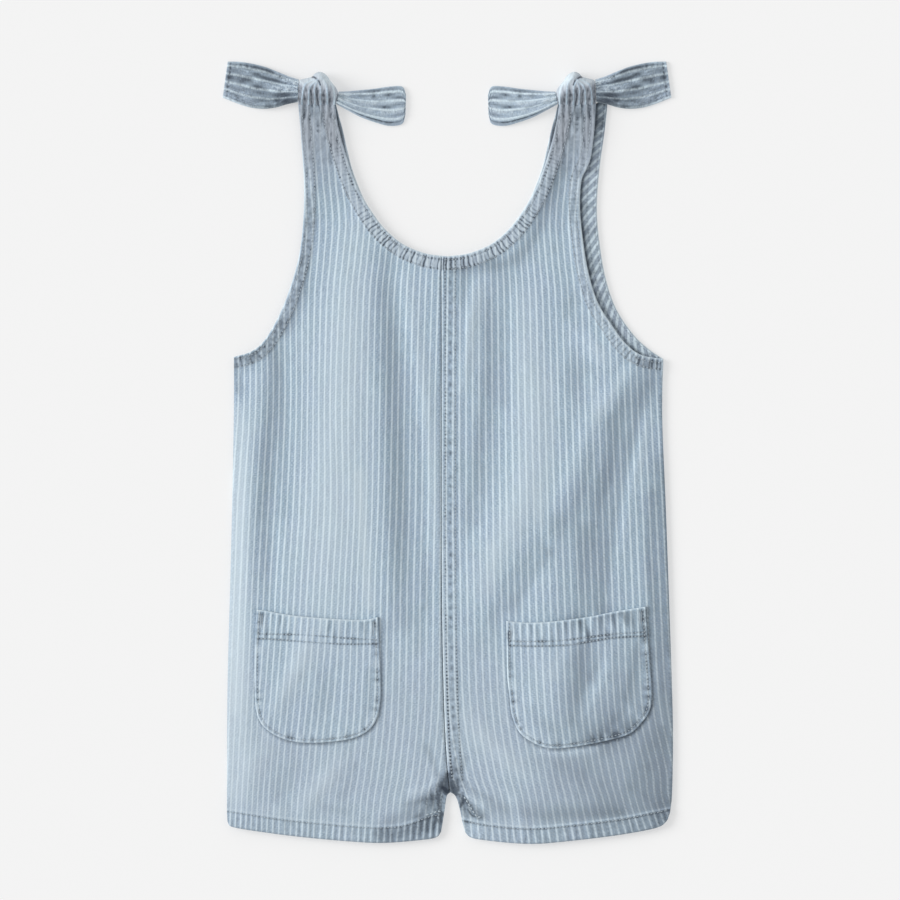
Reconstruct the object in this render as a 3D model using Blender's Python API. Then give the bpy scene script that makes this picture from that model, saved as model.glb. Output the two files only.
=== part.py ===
"""Baby romper of striped denim, laid out flat on its back with its front up.

Axes: +X is the viewer's right, +Y runs from the leg hems to the shoulder bows, +Z is up.
Tables and sizes are in millimetres, and MM turns them into metres where a mesh is made.
"""

import math
from collections import namedtuple

import bmesh
import bpy
from mathutils import Vector
from mathutils.geometry import delaunay_2d_cdt, interpolate_bezier, intersect_point_line

MM = 0.001

# Cloth
WALL = 1.2  # thickness of one layer of the denim
SEAM_GAP = 0.3  # air between two pieces that are sewn or lie together
TURNED_EDGE = 0.8  # how far a turned and stitched edge stands above its panel
EDGE_STEP = 1.2  # width of the slope where a turned edge ends
NECK_BAND = 9.2
ARMHOLE_BAND = 7.8
CENTRE_BAND = 10.0
LEG_HEM = 10.5
POCKET_HEM = 13.6

# How the front lies over the back
REST_LIFT = 1.5  # air under the front away from its folds
MAX_LIFT = 3.4
SIDE_ROLL = 16.0  # distance from a side seam over which the front rises off the back
INSEAM_ROLL = 12.0
STRAP_RISE = 2.6  # air under a front strap where it enters its knot
STRAP_RISE_LENGTH = 32.0
STRAP_TOP = 225.3
GATHER_PITCH = 4.4  # width of one pleat where a strap is gathered into its knot
GATHER_DEPTH = 0.7
GATHER_STACK = 1.0  # extra thickness where the pleats crowd together
ARMHOLE_OPEN = 1.2  # how far the right front armhole edge stands off the back
ARMHOLE_OPEN_WIDTH = 14.0
POCKET_MOUTH_LIFT = 1.0

# Facing, ties and knots
FACING_WALL = 0.9
TIE_WALL = 2.0  # a tie is a doubled strip
TIE_KNOT_LIFT = 3.2  # height of a tie's underside where it leaves the knot
TIE_PLEATS = 3
TIE_PLEAT_DEPTH = 2.0
KNOT_BASE = 225.8
KNOT_SIDE_HEIGHT = 4.6
KNOT_ROLL = 7.5  # radius over which the knot rounds down to its side
KNOT_TOP_HEIGHT = 12.2
KNOT_CLIMB = 8.0  # length over which the knot climbs from the strap to its top
KNOT_EDGE = 1.2

# Spacing of mesh points
EDGE_SPACING = 9.0
GRID_X = 7.5
GRID_Y = 14.0
BACK_GRID = 36.0
KNOT_EDGE_SPACING = 2.4
KNOT_GRID = 1.8
CLEAR_OF_EDGE = 0.36  # share of the grid kept clear beside a drawn line

LEFT, RIGHT = -1, 1
MIDDLE = Vector((0.55, -1.1, 0.0))  # middle of the garment's length and width, the part's origin

# Edges, from top to bottom, a row for each point: x, y
LEFT_ARMHOLE = (
    (-96.7, 225.3), (-94.6, 200.0), (-93.0, 174.0), (-93.4, 150.0), (-96.0, 128.0),
    (-101.4, 108.0), (-109.0, 88.5), (-118.3, 72.4), (-127.0, 64.8), (-138.5, 61.1),
)
LEFT_SIDE = (
    (-138.5, 61.1), (-138.5, 30.0), (-139.3, -20.0), (-141.0, -90.0), (-142.6, -150.0),
    (-143.0, -205.0), (-143.0, -236.0),
)
LEFT_HEM = (
    (-143.0, -236.0), (-141.6, -242.2), (-135.9, -245.1), (-116.0, -248.3), (-95.0, -250.9),
    (-66.0, -253.6), (-42.3, -254.8), (-18.0, -253.0), (-7.6, -251.2), (-4.4, -247.6),
)
LEFT_INSEAM = ((-4.4, -247.6), (-3.3, -240.0), (-1.9, -230.8), (-0.3, -224.3), (1.9, -221.2))
FRONT_RIGHT_ARMHOLE = (
    (96.7, 225.3), (96.0, 211.0), (93.6, 193.0), (88.3, 177.0), (86.3, 160.0), (88.2, 143.0),
    (92.3, 118.3), (98.8, 97.5), (107.3, 82.4), (116.2, 69.8), (126.5, 62.4), (140.6, 59.8),
)
BACK_RIGHT_ARMHOLE = (
    (104.3, 225.3), (102.6, 209.0), (99.4, 185.0), (97.5, 160.0), (98.8, 138.5), (103.0, 113.0),
    (110.0, 92.5), (120.9, 76.1), (131.0, 66.4), (140.6, 59.8),
)
RIGHT_SIDE = (
    (140.6, 59.8), (139.9, 22.0), (142.2, -36.0), (144.6, -104.0), (146.4, -158.0),
    (146.9, -190.0), (146.3, -222.0), (145.0, -235.0),
)
RIGHT_HEM = (
    (145.0, -235.0), (142.4, -241.0), (135.9, -245.0), (117.0, -248.8), (96.9, -251.6),
    (73.5, -254.2), (57.9, -255.4), (42.3, -254.9), (24.0, -252.9), (15.4, -251.2),
    (11.8, -247.8),
)
RIGHT_INSEAM = (
    (11.8, -247.8), (9.9, -240.6), (8.6, -233.6), (6.6, -227.0), (4.6, -223.0), (2.5, -221.2),
)
FRONT_NECK = (
    (-72.8, 225.3), (-71.2, 213.9), (-68.3, 201.5), (-63.6, 186.0), (-57.9, 171.0),
    (-50.0, 156.8), (-41.0, 145.2), (-29.0, 135.4), (-15.0, 129.8), (-3.7, 128.1),
)
BACK_NECK = (
    (-70.6, 225.3), (-69.0, 211.0), (-65.6, 196.5), (-61.2, 182.0), (-54.6, 165.2),
    (-48.6, 155.2), (-40.6, 145.0), (-29.0, 135.4), (-15.0, 129.8), (0.0, 127.9),
)
FRONT_CENTRE = (
    (-3.7, 128.1), (-3.6, 60.0), (-3.6, -30.0), (-3.4, -100.0), (-2.2, -160.0), (-0.3, -200.0),
    (1.9, -221.2),
)
BACK_CENTRE = ((0.0, 127.9), (0.0, 0.0), (0.4, -150.0), (2.2, -221.2))

# Pockets, from the corner nearer the side seam, round the bottom, to the other top corner
LEFT_POCKET = (
    (-123.6, -103.4), (-124.9, -124.0), (-125.1, -143.0), (-124.6, -165.0), (-121.6, -175.8),
    (-115.5, -182.4), (-105.6, -187.4), (-94.0, -189.6), (-80.0, -189.5), (-63.5, -187.4),
    (-52.8, -182.9), (-46.6, -175.8), (-43.8, -166.0), (-43.1, -150.0), (-44.9, -108.3),
)
RIGHT_POCKET = (
    (129.1, -101.1), (131.0, -128.0), (132.9, -155.0), (131.8, -168.0), (126.6, -176.4),
    (118.2, -184.0), (102.0, -188.7), (80.6, -192.6), (66.3, -193.2), (55.6, -189.4),
    (47.0, -182.8), (42.2, -172.0), (40.7, -160.0), (39.0, -144.0), (38.0, -110.8),
)

# Folds of the front, a row for each soft ridge (height above 0) or trough (below 0)
Fold = namedtuple("Fold", "start_x start_y end_x end_y half_width height")
FRONT_FOLDS = (
    Fold(-72.0, 150.0, -68.0, -95.0, 22.0, 1.5),
    Fold(-44.0, 122.0, -33.0, -85.0, 10.0, -1.3),
    Fold(-29.0, 112.0, -10.0, -65.0, 8.0, 0.8),
    Fold(-112.0, 58.0, -120.0, -98.0, 10.0, -1.0),
    Fold(-126.0, 42.0, -130.0, -20.0, 8.0, 0.7),
    Fold(-90.0, -150.0, -100.0, -205.0, 9.0, 0.7),
    Fold(-60.0, -198.0, -76.0, -232.0, 8.0, 0.9),
    Fold(-40.0, -205.0, -22.0, -238.0, 9.0, -1.0),
    Fold(20.0, 116.0, 12.0, 34.0, 7.0, 1.0),
    Fold(32.0, 116.0, 22.0, -8.0, 8.0, -1.1),
    Fold(55.0, 140.0, 54.0, -30.0, 15.0, 1.2),
    Fold(60.0, -16.0, 22.0, -92.0, 10.0, 1.1),
    Fold(84.0, 104.0, 84.0, 38.0, 10.0, -0.7),
    Fold(106.0, 54.0, 94.0, 72.0, 9.0, 0.9),
    Fold(126.0, 42.0, 92.0, -34.0, 10.0, -1.5),
    Fold(92.0, -34.0, 30.0, -114.0, 11.0, -1.3),
    Fold(106.0, -20.0, 94.0, -104.0, 9.0, -0.9),
    Fold(124.0, -18.0, 112.0, -84.0, 9.0, 1.1),
    Fold(92.0, -120.0, 78.0, -182.0, 9.0, 0.8),
    Fold(70.0, -116.0, 96.0, -190.0, 9.0, -0.7),
    Fold(28.0, -205.0, 54.0, -240.0, 7.0, 1.0),
    Fold(14.0, -212.0, 30.0, -236.0, 7.0, -1.1),
    Fold(104.0, -205.0, 140.0, -240.0, 15.0, -1.0),
)

# Ties of the left bow, a row for each section: the tie's upper edge and its lower edge
Section = namedtuple("Section", "upper_x upper_y lower_x lower_y")
OUTER_TIE = (
    Section(-97.7, 240.8, -97.7, 227.0), Section(-103.0, 243.6, -104.4, 225.2),
    Section(-109.3, 246.2, -111.0, 223.3), Section(-117.7, 249.5, -118.5, 222.4),
    Section(-125.9, 251.6, -127.4, 223.2), Section(-134.2, 252.9, -136.6, 226.0),
    Section(-142.5, 253.2, -145.8, 229.7),
)
INNER_TIE = (
    Section(-69.8, 233.2, -69.8, 226.4), Section(-64.0, 233.9, -63.8, 220.9),
    Section(-56.0, 234.6, -55.4, 216.7), Section(-46.6, 235.6, -45.4, 213.2),
    Section(-36.4, 237.0, -37.2, 211.3), Section(-29.0, 236.8, -29.2, 212.6),
    Section(-26.6, 231.6, -27.0, 218.6),
)

# The left knot: its outline from the inner corner of its base over the top, x, y
KNOT_OUTLINE = (
    (-72.4, 225.8), (-70.7, 229.0), (-70.4, 232.4), (-72.0, 236.6), (-74.8, 239.6),
    (-77.0, 242.6), (-79.6, 245.2), (-82.8, 246.5), (-87.0, 245.2), (-91.4, 244.3),
    (-95.0, 242.9), (-96.8, 239.4), (-97.2, 233.4), (-96.8, 225.8),
)
KNOT_FOLDS = (
    Fold(-84.0, 244.0, -73.6, 229.0, 4.2, 1.5),
    Fold(-87.6, 243.0, -78.4, 232.0, 1.9, -1.0),
    Fold(-94.5, 241.0, -86.0, 243.5, 3.0, 0.8),
)

CREASE_ANGLE = math.radians(32)
DENIM = (0.47, 0.56, 0.63)
DENIM_DEEP = (0.40, 0.49, 0.57)


# ---------------------------------------------------------------- curves and distances


def curve_through(rows, steps_between):
    """Points on a smooth curve through a table's rows, as many between two rows as asked."""
    knots = [Vector(row) for row in rows]
    ends = [2 * knots[0] - knots[1], *knots, 2 * knots[-1] - knots[-2]]
    curve = []
    for before, start, end, after in zip(ends, ends[1:], ends[2:], ends[3:]):
        handle_out = start + (end - before) / 6
        handle_in = end - (after - start) / 6
        count = steps_between(start, end) + 1
        curve += interpolate_bezier(start, handle_out, handle_in, end, count)[:-1]
    return [point.to_2d() for point in curve] + [knots[-1]]


def smooth(rows, spacing):
    """Points about spacing apart on a smooth curve through a table's rows."""
    return curve_through(rows, lambda start, end: max(1, round((end - start).length / spacing)))


def evenly(rows, steps):
    """The same number of points between each two rows of a table."""
    return curve_through(rows, lambda start, end: steps)


def mirrored(rows):
    return [(-x, y) for x, y in rows]


def backwards(curve):
    return list(reversed(curve))


def distance(point, curve):
    """Shortest distance from a point to a line of points."""
    best = math.inf
    for start, end in zip(curve, curve[1:]):
        near, share = intersect_point_line(point, start, end)
        near = start if share < 0 else end if share > 1 else near
        best = min(best, (point - near.to_2d()).length)
    return best


def beside(curve, offset):
    """The curve moved sideways, to its left as it runs when offset is above 0."""
    moved = []
    for i, point in enumerate(curve):
        along = curve[min(i + 1, len(curve) - 1)] - curve[max(i - 1, 0)]
        side = Vector((-along.y, along.x)).normalized()
        moved.append(point + side * offset)
    return moved


def ease(value):
    """0 below 0, 1 above 1, and a smooth rise between them."""
    value = min(max(value, 0.0), 1.0)
    return value * value * (3 - 2 * value)


def fold_height(point, folds):
    """Sum of the soft ridges and troughs at a point."""
    total = 0.0
    for fold in folds:
        start = Vector((fold.start_x, fold.start_y))
        end = Vector((fold.end_x, fold.end_y))
        near, share = intersect_point_line(point, start, end)
        near = start if share < 0 else end if share > 1 else near
        away = (point - near.to_2d()).length / fold.half_width
        total += fold.height * math.exp(-away * away)
    return total


# ---------------------------------------------------------------- making solids


def material(name, colour):
    """A plain cloth material."""
    made = bpy.data.materials.new(name)
    made.use_nodes = True
    shader = made.node_tree.nodes["Principled BSDF"]
    shader.inputs["Base Color"].default_value = (*colour, 1.0)
    shader.inputs["Roughness"].default_value = 0.88
    shader.inputs["Metallic"].default_value = 0.0
    made.diffuse_color = (*colour, 1.0)
    return made


def triangles(outline, lines, grid_x, grid_y):
    """Triangles that fill a closed outline, with edges along every line drawn inside it."""
    drawn = [outline + outline[:1], *lines]
    points = list(outline)
    edges = []
    for line in lines:
        first = len(points)
        points += line
        edges += [(i, i + 1) for i in range(first, len(points) - 1)]
    left, right = min(p.x for p in outline), max(p.x for p in outline)
    low, high = min(p.y for p in outline), max(p.y for p in outline)
    clear = CLEAR_OF_EDGE * grid_x
    for row in range(1, math.ceil((high - low) / grid_y)):
        for column in range(1, math.ceil((right - left) / grid_x)):
            point = Vector((left + column * grid_x, low + row * grid_y))
            if min(distance(point, line) for line in drawn) > clear:
                points.append(point)
    inside_only = 1
    same_point = 0.05
    face = list(range(len(outline)))
    found = delaunay_2d_cdt(points, edges, [face], inside_only, same_point)
    return found[0], found[2]


def solid(name, net, lower, thickness, colour):
    """A closed wall on a net of triangles, from its height below and its thickness."""
    points, faces = net
    used = sorted({i for face in faces for i in face})
    mesh = bmesh.new()
    corners = {i: mesh.verts.new((*points[i], lower(points[i]))) for i in used}
    for face in faces:
        mesh.faces.new([corners[i] for i in face])
    raised = bmesh.ops.extrude_face_region(mesh, geom=mesh.faces[:])["geom"]
    for vertex in raised:
        if isinstance(vertex, bmesh.types.BMVert):
            vertex.co.z += thickness(vertex.co.to_2d())
    bmesh.ops.recalc_face_normals(mesh, faces=mesh.faces)
    bmesh.ops.translate(mesh, vec=-MIDDLE, verts=mesh.verts)
    bmesh.ops.scale(mesh, vec=(MM, MM, MM), verts=mesh.verts)
    made = bpy.data.meshes.new(name)
    mesh.to_mesh(made)
    mesh.free()
    made.shade_smooth()
    made.set_sharp_from_angle(angle=CREASE_ANGLE)
    made.materials.append(material(name + "_cloth", colour))
    thing = bpy.data.objects.new(name, made)
    bpy.data.collections["baby_romper"].objects.link(thing)
    return thing


def inside(point, outline):
    """Whether a point lies inside a closed outline."""
    crossings = 0
    for start, end in zip(outline, outline[1:] + outline[:1]):
        if (start.y > point.y) != (end.y > point.y):
            share = (point.y - start.y) / (end.y - start.y)
            crossings += point.x < start.x + share * (end.x - start.x)
    return crossings % 2 == 1


def part_of(net, outline):
    """The triangles of a net that lie inside an outline drawn on it."""
    points, faces = net
    kept = [f for f in faces if inside(sum((points[i] for i in f), Vector((0, 0))) / 3, outline)]
    return points, kept


# ---------------------------------------------------------------- heights

GATHER_CENTRE = -(LEFT_ARMHOLE[0][0] + FRONT_NECK[0][0]) / 2
SEAMS = (
    (smooth(LEFT_SIDE, 60.0), SIDE_ROLL),
    (smooth(RIGHT_SIDE, 60.0), SIDE_ROLL),
    (smooth(LEFT_INSEAM, 12.0), INSEAM_ROLL),
    (smooth(RIGHT_INSEAM, 12.0), INSEAM_ROLL),
)
OPEN_ARMHOLE = smooth(FRONT_RIGHT_ARMHOLE, 12.0)


def strap_rise(point):
    """0 on the garment, rising to 1 where a strap enters its knot."""
    return ease((point.y - STRAP_TOP + STRAP_RISE_LENGTH) / STRAP_RISE_LENGTH)


def front_lift(point):
    """Air between the back and the front at a point."""
    off_seams = min(ease(distance(point, seam) / roll) for seam, roll in SEAMS)
    from_armhole = distance(point, OPEN_ARMHOLE)
    lift = REST_LIFT + fold_height(point, FRONT_FOLDS)
    lift += ARMHOLE_OPEN * ease(1 - from_armhole / ARMHOLE_OPEN_WIDTH)
    lift = min(max(lift, 0.0), MAX_LIFT) * off_seams
    rise = strap_rise(point)
    return lift * (1 - rise) + STRAP_RISE * rise


def front_lower(point):
    return WALL + SEAM_GAP + front_lift(point)


def gathers(point):
    """Extra thickness of the pleats that run up a front strap into its knot."""
    return strap_rise(point) * (GATHER_STACK + GATHER_DEPTH * pleat_wave(point))


def pleat_wave(point):
    """1 on a pleat's crest and 0 in the hollow beside it."""
    turns = (abs(point.x) - GATHER_CENTRE) / GATHER_PITCH
    return 0.5 + 0.5 * math.cos(2 * math.pi * turns)


def wall_with_bands(bands):
    """Thickness of a panel with a turned edge of its own width along each curve."""

    def thickness(point):
        near = [distance(point, curve) < width + EDGE_STEP / 2 for curve, width in bands]
        return WALL + TURNED_EDGE * any(near) * (1 - strap_rise(point)) + gathers(point)

    return thickness


# ---------------------------------------------------------------- the pieces


def band_lines(curve, width, side):
    """The two lines where a turned edge ends: its top and its foot."""
    return [beside(curve, side * width), beside(curve, side * (width + EDGE_STEP))]


def gather_xs(side):
    """Where the crests and hollows of a strap's pleats lie across its top."""
    half = GATHER_PITCH / 2
    outer, inner = abs(LEFT_ARMHOLE[0][0]) - 1, abs(FRONT_NECK[0][0]) + 1
    places = [GATHER_CENTRE + step * half for step in range(-6, 7)]
    return [side * x for x in places if inner < x < outer]


def gather_lines(side):
    """Lines along the pleats of a strap, at each crest and hollow."""
    shares = (0.0, 0.25, 0.5, 0.8)
    tops = [Vector((x, STRAP_TOP)) for x in gather_xs(side)]
    return [[top - Vector((0.0, t * STRAP_RISE_LENGTH)) for t in shares] for top in tops]


def panel_lines(neck, armhole, hem, side):
    """Every line that shapes a front panel: its turned edges and its gathers."""
    lines = band_lines(neck, NECK_BAND, side)
    lines += band_lines(armhole, ARMHOLE_BAND, -side)
    lines += band_lines(hem, LEG_HEM, -side)
    return lines + gather_lines(side)


def make_front_left():
    """The viewer's left front with its strap, and the pocket on it."""
    armhole = smooth(LEFT_ARMHOLE, EDGE_SPACING)
    side = smooth(LEFT_SIDE, 2 * EDGE_SPACING)
    hem = smooth(LEFT_HEM, EDGE_SPACING)
    inseam = smooth(LEFT_INSEAM, EDGE_SPACING)
    centre = smooth(FRONT_CENTRE, 2 * EDGE_SPACING)
    neck = smooth(FRONT_NECK, EDGE_SPACING)
    centre = beside(centre, -SEAM_GAP)
    outline = armhole[:-1] + side[:-1] + hem[:-1] + inseam[:-1]
    outline += backwards(centre)[:-1] + backwards(neck)
    pocket = smooth(LEFT_POCKET, EDGE_SPACING)
    lines = panel_lines(neck, armhole, hem, LEFT)
    lines += pocket_lines(pocket)
    net = triangles(outline, lines, GRID_X, GRID_Y)
    bands = ((neck, NECK_BAND), (armhole, ARMHOLE_BAND), (hem, LEG_HEM))
    thickness = wall_with_bands(bands)
    solid("front_left", net, front_lower, thickness, DENIM)
    make_pocket("pocket_left", net, pocket, thickness)


def make_front_right():
    """The viewer's right front with its strap, its felled centre seam and its pocket."""
    armhole = smooth(FRONT_RIGHT_ARMHOLE, EDGE_SPACING)
    side = smooth(RIGHT_SIDE, 2 * EDGE_SPACING)
    hem = smooth(RIGHT_HEM, EDGE_SPACING)
    inseam = smooth(RIGHT_INSEAM, EDGE_SPACING)
    centre = smooth(FRONT_CENTRE, 2 * EDGE_SPACING)
    neck = smooth(mirrored(FRONT_NECK), EDGE_SPACING)
    outline = armhole[:-1] + side[:-1] + hem[:-1] + inseam[:-1]
    outline += backwards(centre) + backwards(neck)
    pocket = smooth(RIGHT_POCKET, EDGE_SPACING)
    lines = panel_lines(neck, armhole, hem, RIGHT)
    lines += band_lines(centre, CENTRE_BAND, 1)
    lines += pocket_lines(pocket)
    net = triangles(outline, lines, GRID_X, GRID_Y)
    bands = ((neck, NECK_BAND), (armhole, ARMHOLE_BAND), (hem, LEG_HEM), (centre, CENTRE_BAND))
    thickness = wall_with_bands(bands)
    solid("front_right", net, front_lower, thickness, DENIM)
    make_pocket("pocket_right", net, pocket, thickness)


def pocket_mouth(pocket):
    return [pocket[-1], pocket[0]]


def pocket_lines(pocket):
    """The pocket's outline and the foot of its hem, drawn on the front panel."""
    closed = pocket + pocket[:1]
    across = (pocket[0] - pocket[-1]).normalized()
    down = Vector((across.y, -across.x))
    if down.y > 0:
        down = -down
    lines = [closed]
    for depth in (POCKET_HEM, POCKET_HEM + EDGE_STEP):
        start = pocket[-1] + down * depth
        end = pocket[0] + down * depth
        lines.append([start.lerp(end, 0.02 + 0.96 * i / 8) for i in range(9)])
    return lines


def make_pocket(name, net, pocket, front_thickness):
    """A patch pocket made from the front's own points, moved out."""
    mouth = pocket_mouth(pocket)
    middle = (mouth[0] + mouth[1]) / 2

    def lower(point):
        open_share = ease(1 - distance(point, mouth) / 50) * ease(1 - abs(point.x - middle.x) / 36)
        lifted = SEAM_GAP + POCKET_MOUTH_LIFT * open_share
        return front_lower(point) + front_thickness(point) + lifted

    def thickness(point):
        return WALL + TURNED_EDGE * (distance(point, mouth) < POCKET_HEM + EDGE_STEP / 2)

    solid(name, part_of(net, pocket), lower, thickness, DENIM)


def make_back(name, armhole_rows, side_rows, hem_rows, inseam_rows, neck_rows, side):
    """One back half, flat on the surface, with its strap."""
    armhole = smooth(armhole_rows, EDGE_SPACING)
    edge = smooth(side_rows, 2 * EDGE_SPACING)
    hem = smooth(hem_rows, EDGE_SPACING)
    inseam = smooth(inseam_rows, EDGE_SPACING)
    centre = beside(smooth(BACK_CENTRE, 2 * EDGE_SPACING), side * SEAM_GAP / 2)
    neck = smooth(neck_rows, EDGE_SPACING)[:-1]
    outline = armhole[:-1] + edge[:-1] + hem[:-1] + inseam[:-1]
    outline += backwards(centre) + backwards(neck)
    net = triangles(outline, [], BACK_GRID, BACK_GRID)
    solid(name, net, lambda point: 0.0, lambda point: WALL, DENIM_DEEP)


def make_backs():
    hidden_inset = 1.5  # the left back strap lies just inside the front's
    left_armhole = [(x + hidden_inset * ease((y - 61.1) / 60), y) for x, y in LEFT_ARMHOLE]
    make_back(
        "back_left", left_armhole, LEFT_SIDE, LEFT_HEM, LEFT_INSEAM, BACK_NECK, LEFT
    )
    make_back(
        "back_right", BACK_RIGHT_ARMHOLE, RIGHT_SIDE, RIGHT_HEM, RIGHT_INSEAM,
        mirrored(BACK_NECK), RIGHT,
    )


def make_facing():
    """The bias strip inside the right back armhole, where the front's edge leaves it bare."""
    narrowest = 2.0
    inset = 0.6
    back_edge = beside(smooth(BACK_RIGHT_ARMHOLE, EDGE_SPACING), -inset)
    front_edge = beside(smooth(FRONT_RIGHT_ARMHOLE, EDGE_SPACING), SEAM_GAP)
    outer = [p for p in back_edge[1:] if distance(p, front_edge) > narrowest]
    inner = [p for p in front_edge[1:] if distance(p, back_edge) > narrowest]
    net = triangles(outer + backwards(inner), [], GRID_X, GRID_Y)
    solid(
        "armhole_facing_right", net, lambda point: WALL + SEAM_GAP,
        lambda point: FACING_WALL, DENIM_DEEP,
    )


def make_tie(name, rows, side):
    """One tail of a bow: flat at its end, lifted and pleated where it leaves the knot."""
    per_row = 2
    upper = evenly([(side * -row.upper_x, row.upper_y) for row in rows], per_row)
    lower_edge = evenly([(side * -row.lower_x, row.lower_y) for row in rows], per_row)
    shares = [pleat / (2 * TIE_PLEATS) for pleat in range(1, 2 * TIE_PLEATS)]
    lines = [[a.lerp(b, share) for a, b in zip(upper, lower_edge)] for share in shares]
    knot_end = [line[0] for line in lines]
    free_end = [line[-1] for line in lines]
    outline = upper + free_end + backwards(lower_edge) + backwards(knot_end)
    knot_x, end_x = upper[0].x, upper[-1].x

    def lower(point):
        along = (point.x - knot_x) / (end_x - knot_x)
        near_knot = ease(1 - along * 1.15)
        across = distance(point, upper)
        width = max(across + distance(point, lower_edge), 1.0)
        pleat = 0.5 - 0.5 * math.cos(2 * math.pi * TIE_PLEATS * across / width)
        return near_knot * (TIE_KNOT_LIFT + TIE_PLEAT_DEPTH * pleat)

    net = triangles(outline, lines, 4 * KNOT_GRID, 4 * KNOT_GRID)
    solid(name, net, lower, lambda point: TIE_WALL, DENIM)


def make_knot(name, side):
    """The strap's end wrapped over the tie: flat below, rounded at its sides, ribbed above."""
    arch = smooth([(side * -x, y) for x, y in KNOT_OUTLINE], KNOT_EDGE_SPACING)
    base = [Vector((x, KNOT_BASE)) for x in sorted(gather_xs(side), reverse=side == LEFT)]
    folds = [f._replace(start_x=side * -f.start_x, end_x=side * -f.end_x) for f in KNOT_FOLDS]
    start_height = WALL + SEAM_GAP + STRAP_RISE + WALL + GATHER_STACK

    def rounding(point):
        inward = min(distance(point, arch) / KNOT_ROLL, 1.0)
        return math.sqrt(1 - (1 - inward) ** 2)

    def lower(point):
        return KNOT_SIDE_HEIGHT * (1 - rounding(point))

    def thickness(point):
        climb = ease((point.y - KNOT_BASE) / KNOT_CLIMB)
        top = start_height + (KNOT_TOP_HEIGHT - start_height) * climb
        top += GATHER_DEPTH * pleat_wave(point) + fold_height(point, folds)
        raised = (top - KNOT_SIDE_HEIGHT) * rounding(point)
        return KNOT_SIDE_HEIGHT + raised + KNOT_EDGE - lower(point)

    net = triangles(arch + backwards(base), [], KNOT_GRID, KNOT_GRID)
    solid(name, net, lower, thickness, DENIM)


def main():
    for thing in list(bpy.data.objects):
        bpy.data.objects.remove(thing)
    collection = bpy.data.collections.new("baby_romper")
    bpy.context.scene.collection.children.link(collection)
    make_backs()
    make_facing()
    make_front_left()
    make_front_right()
    for word, side in (("left", LEFT), ("right", RIGHT)):
        make_knot("knot_" + word, side)
        make_tie(f"tie_{word}_outer", OUTER_TIE, side)
        make_tie(f"tie_{word}_inner", INNER_TIE, side)


main()
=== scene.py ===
"""Baby romper of striped denim, laid out flat: its cloth, its stitching and a plain stage.

Axes: +X is the viewer's right, +Y runs from the leg hems to the shoulder bows, +Z is up.
Tables and sizes are in millimetres, and MM turns them into metres where a mesh is made.
"""

import math
from collections import namedtuple

import bpy
import numpy as np
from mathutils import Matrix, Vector, kdtree, noise
from mathutils.geometry import delaunay_2d_cdt


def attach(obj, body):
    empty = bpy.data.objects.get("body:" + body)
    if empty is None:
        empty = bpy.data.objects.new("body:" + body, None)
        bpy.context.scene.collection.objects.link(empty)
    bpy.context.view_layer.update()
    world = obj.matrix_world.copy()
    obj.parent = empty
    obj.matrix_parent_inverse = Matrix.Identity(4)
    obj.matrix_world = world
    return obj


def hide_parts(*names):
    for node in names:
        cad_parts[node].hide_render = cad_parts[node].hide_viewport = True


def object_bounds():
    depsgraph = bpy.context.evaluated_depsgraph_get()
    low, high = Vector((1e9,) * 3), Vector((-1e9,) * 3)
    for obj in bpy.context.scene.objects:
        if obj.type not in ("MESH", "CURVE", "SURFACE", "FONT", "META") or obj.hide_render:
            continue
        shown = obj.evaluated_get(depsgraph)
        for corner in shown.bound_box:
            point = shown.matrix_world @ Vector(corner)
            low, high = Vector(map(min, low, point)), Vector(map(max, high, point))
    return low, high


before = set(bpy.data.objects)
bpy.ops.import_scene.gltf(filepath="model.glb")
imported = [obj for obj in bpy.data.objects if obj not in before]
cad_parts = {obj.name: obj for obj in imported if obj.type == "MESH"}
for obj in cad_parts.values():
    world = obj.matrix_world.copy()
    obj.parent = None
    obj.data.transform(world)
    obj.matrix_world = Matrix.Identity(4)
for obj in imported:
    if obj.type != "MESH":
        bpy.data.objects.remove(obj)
CAD_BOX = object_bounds()

bl_info = {
    "name": "Striped Denim Baby Romper",
    "version": (1, 0, 0),
    "blender": (4, 5, 0),
    "location": "3D View > Sidebar > Romper",
    "description": "Dresses the romper's solids in striped denim, with its stitching and a stage",
    "category": "Object",
}

MM = 0.001
LEFT, RIGHT = -1, 1
MIDDLE = np.array((0.55, -1.1))  # middle of the garment in the tables, the part's origin

# Cloth and the widths of its turned edges
WALL = 1.2
SEAM_GAP = 0.3
HIDDEN_INSET = 1.5  # of the left back's armhole from the front's
TURNED_EDGE = 0.8  # how far a turned and stitched edge stands above its panel
NECK_BAND = 9.2
ARMHOLE_BAND = 7.8
CENTRE_BAND = 10.0
LEG_HEM = 10.5
TOP_ROUNDING = 0.9  # of a piece's edge, where its cloth turns under
BACK_ROUNDING = 0.6
UNDER_ROUNDING = 0.5

# How the front lies over the back: the heights of its lift and the widths over which it
# comes down to its seams
REST_LIFT = 1.5
MAX_LIFT = 3.4
SIDE_ROLL = 16.0
INSEAM_ROLL = 12.0
STRAP_RISE = 2.6
STRAP_RISE_LENGTH = 32.0
STRAP_TOP = 225.3
GATHER_STACK = 1.0
STRAP_PLEAT = 0.9
ARMHOLE_OPEN = 1.2
ARMHOLE_OPEN_WIDTH = 14.0
POCKET_MOUTH_LIFT = 1.0

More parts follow.
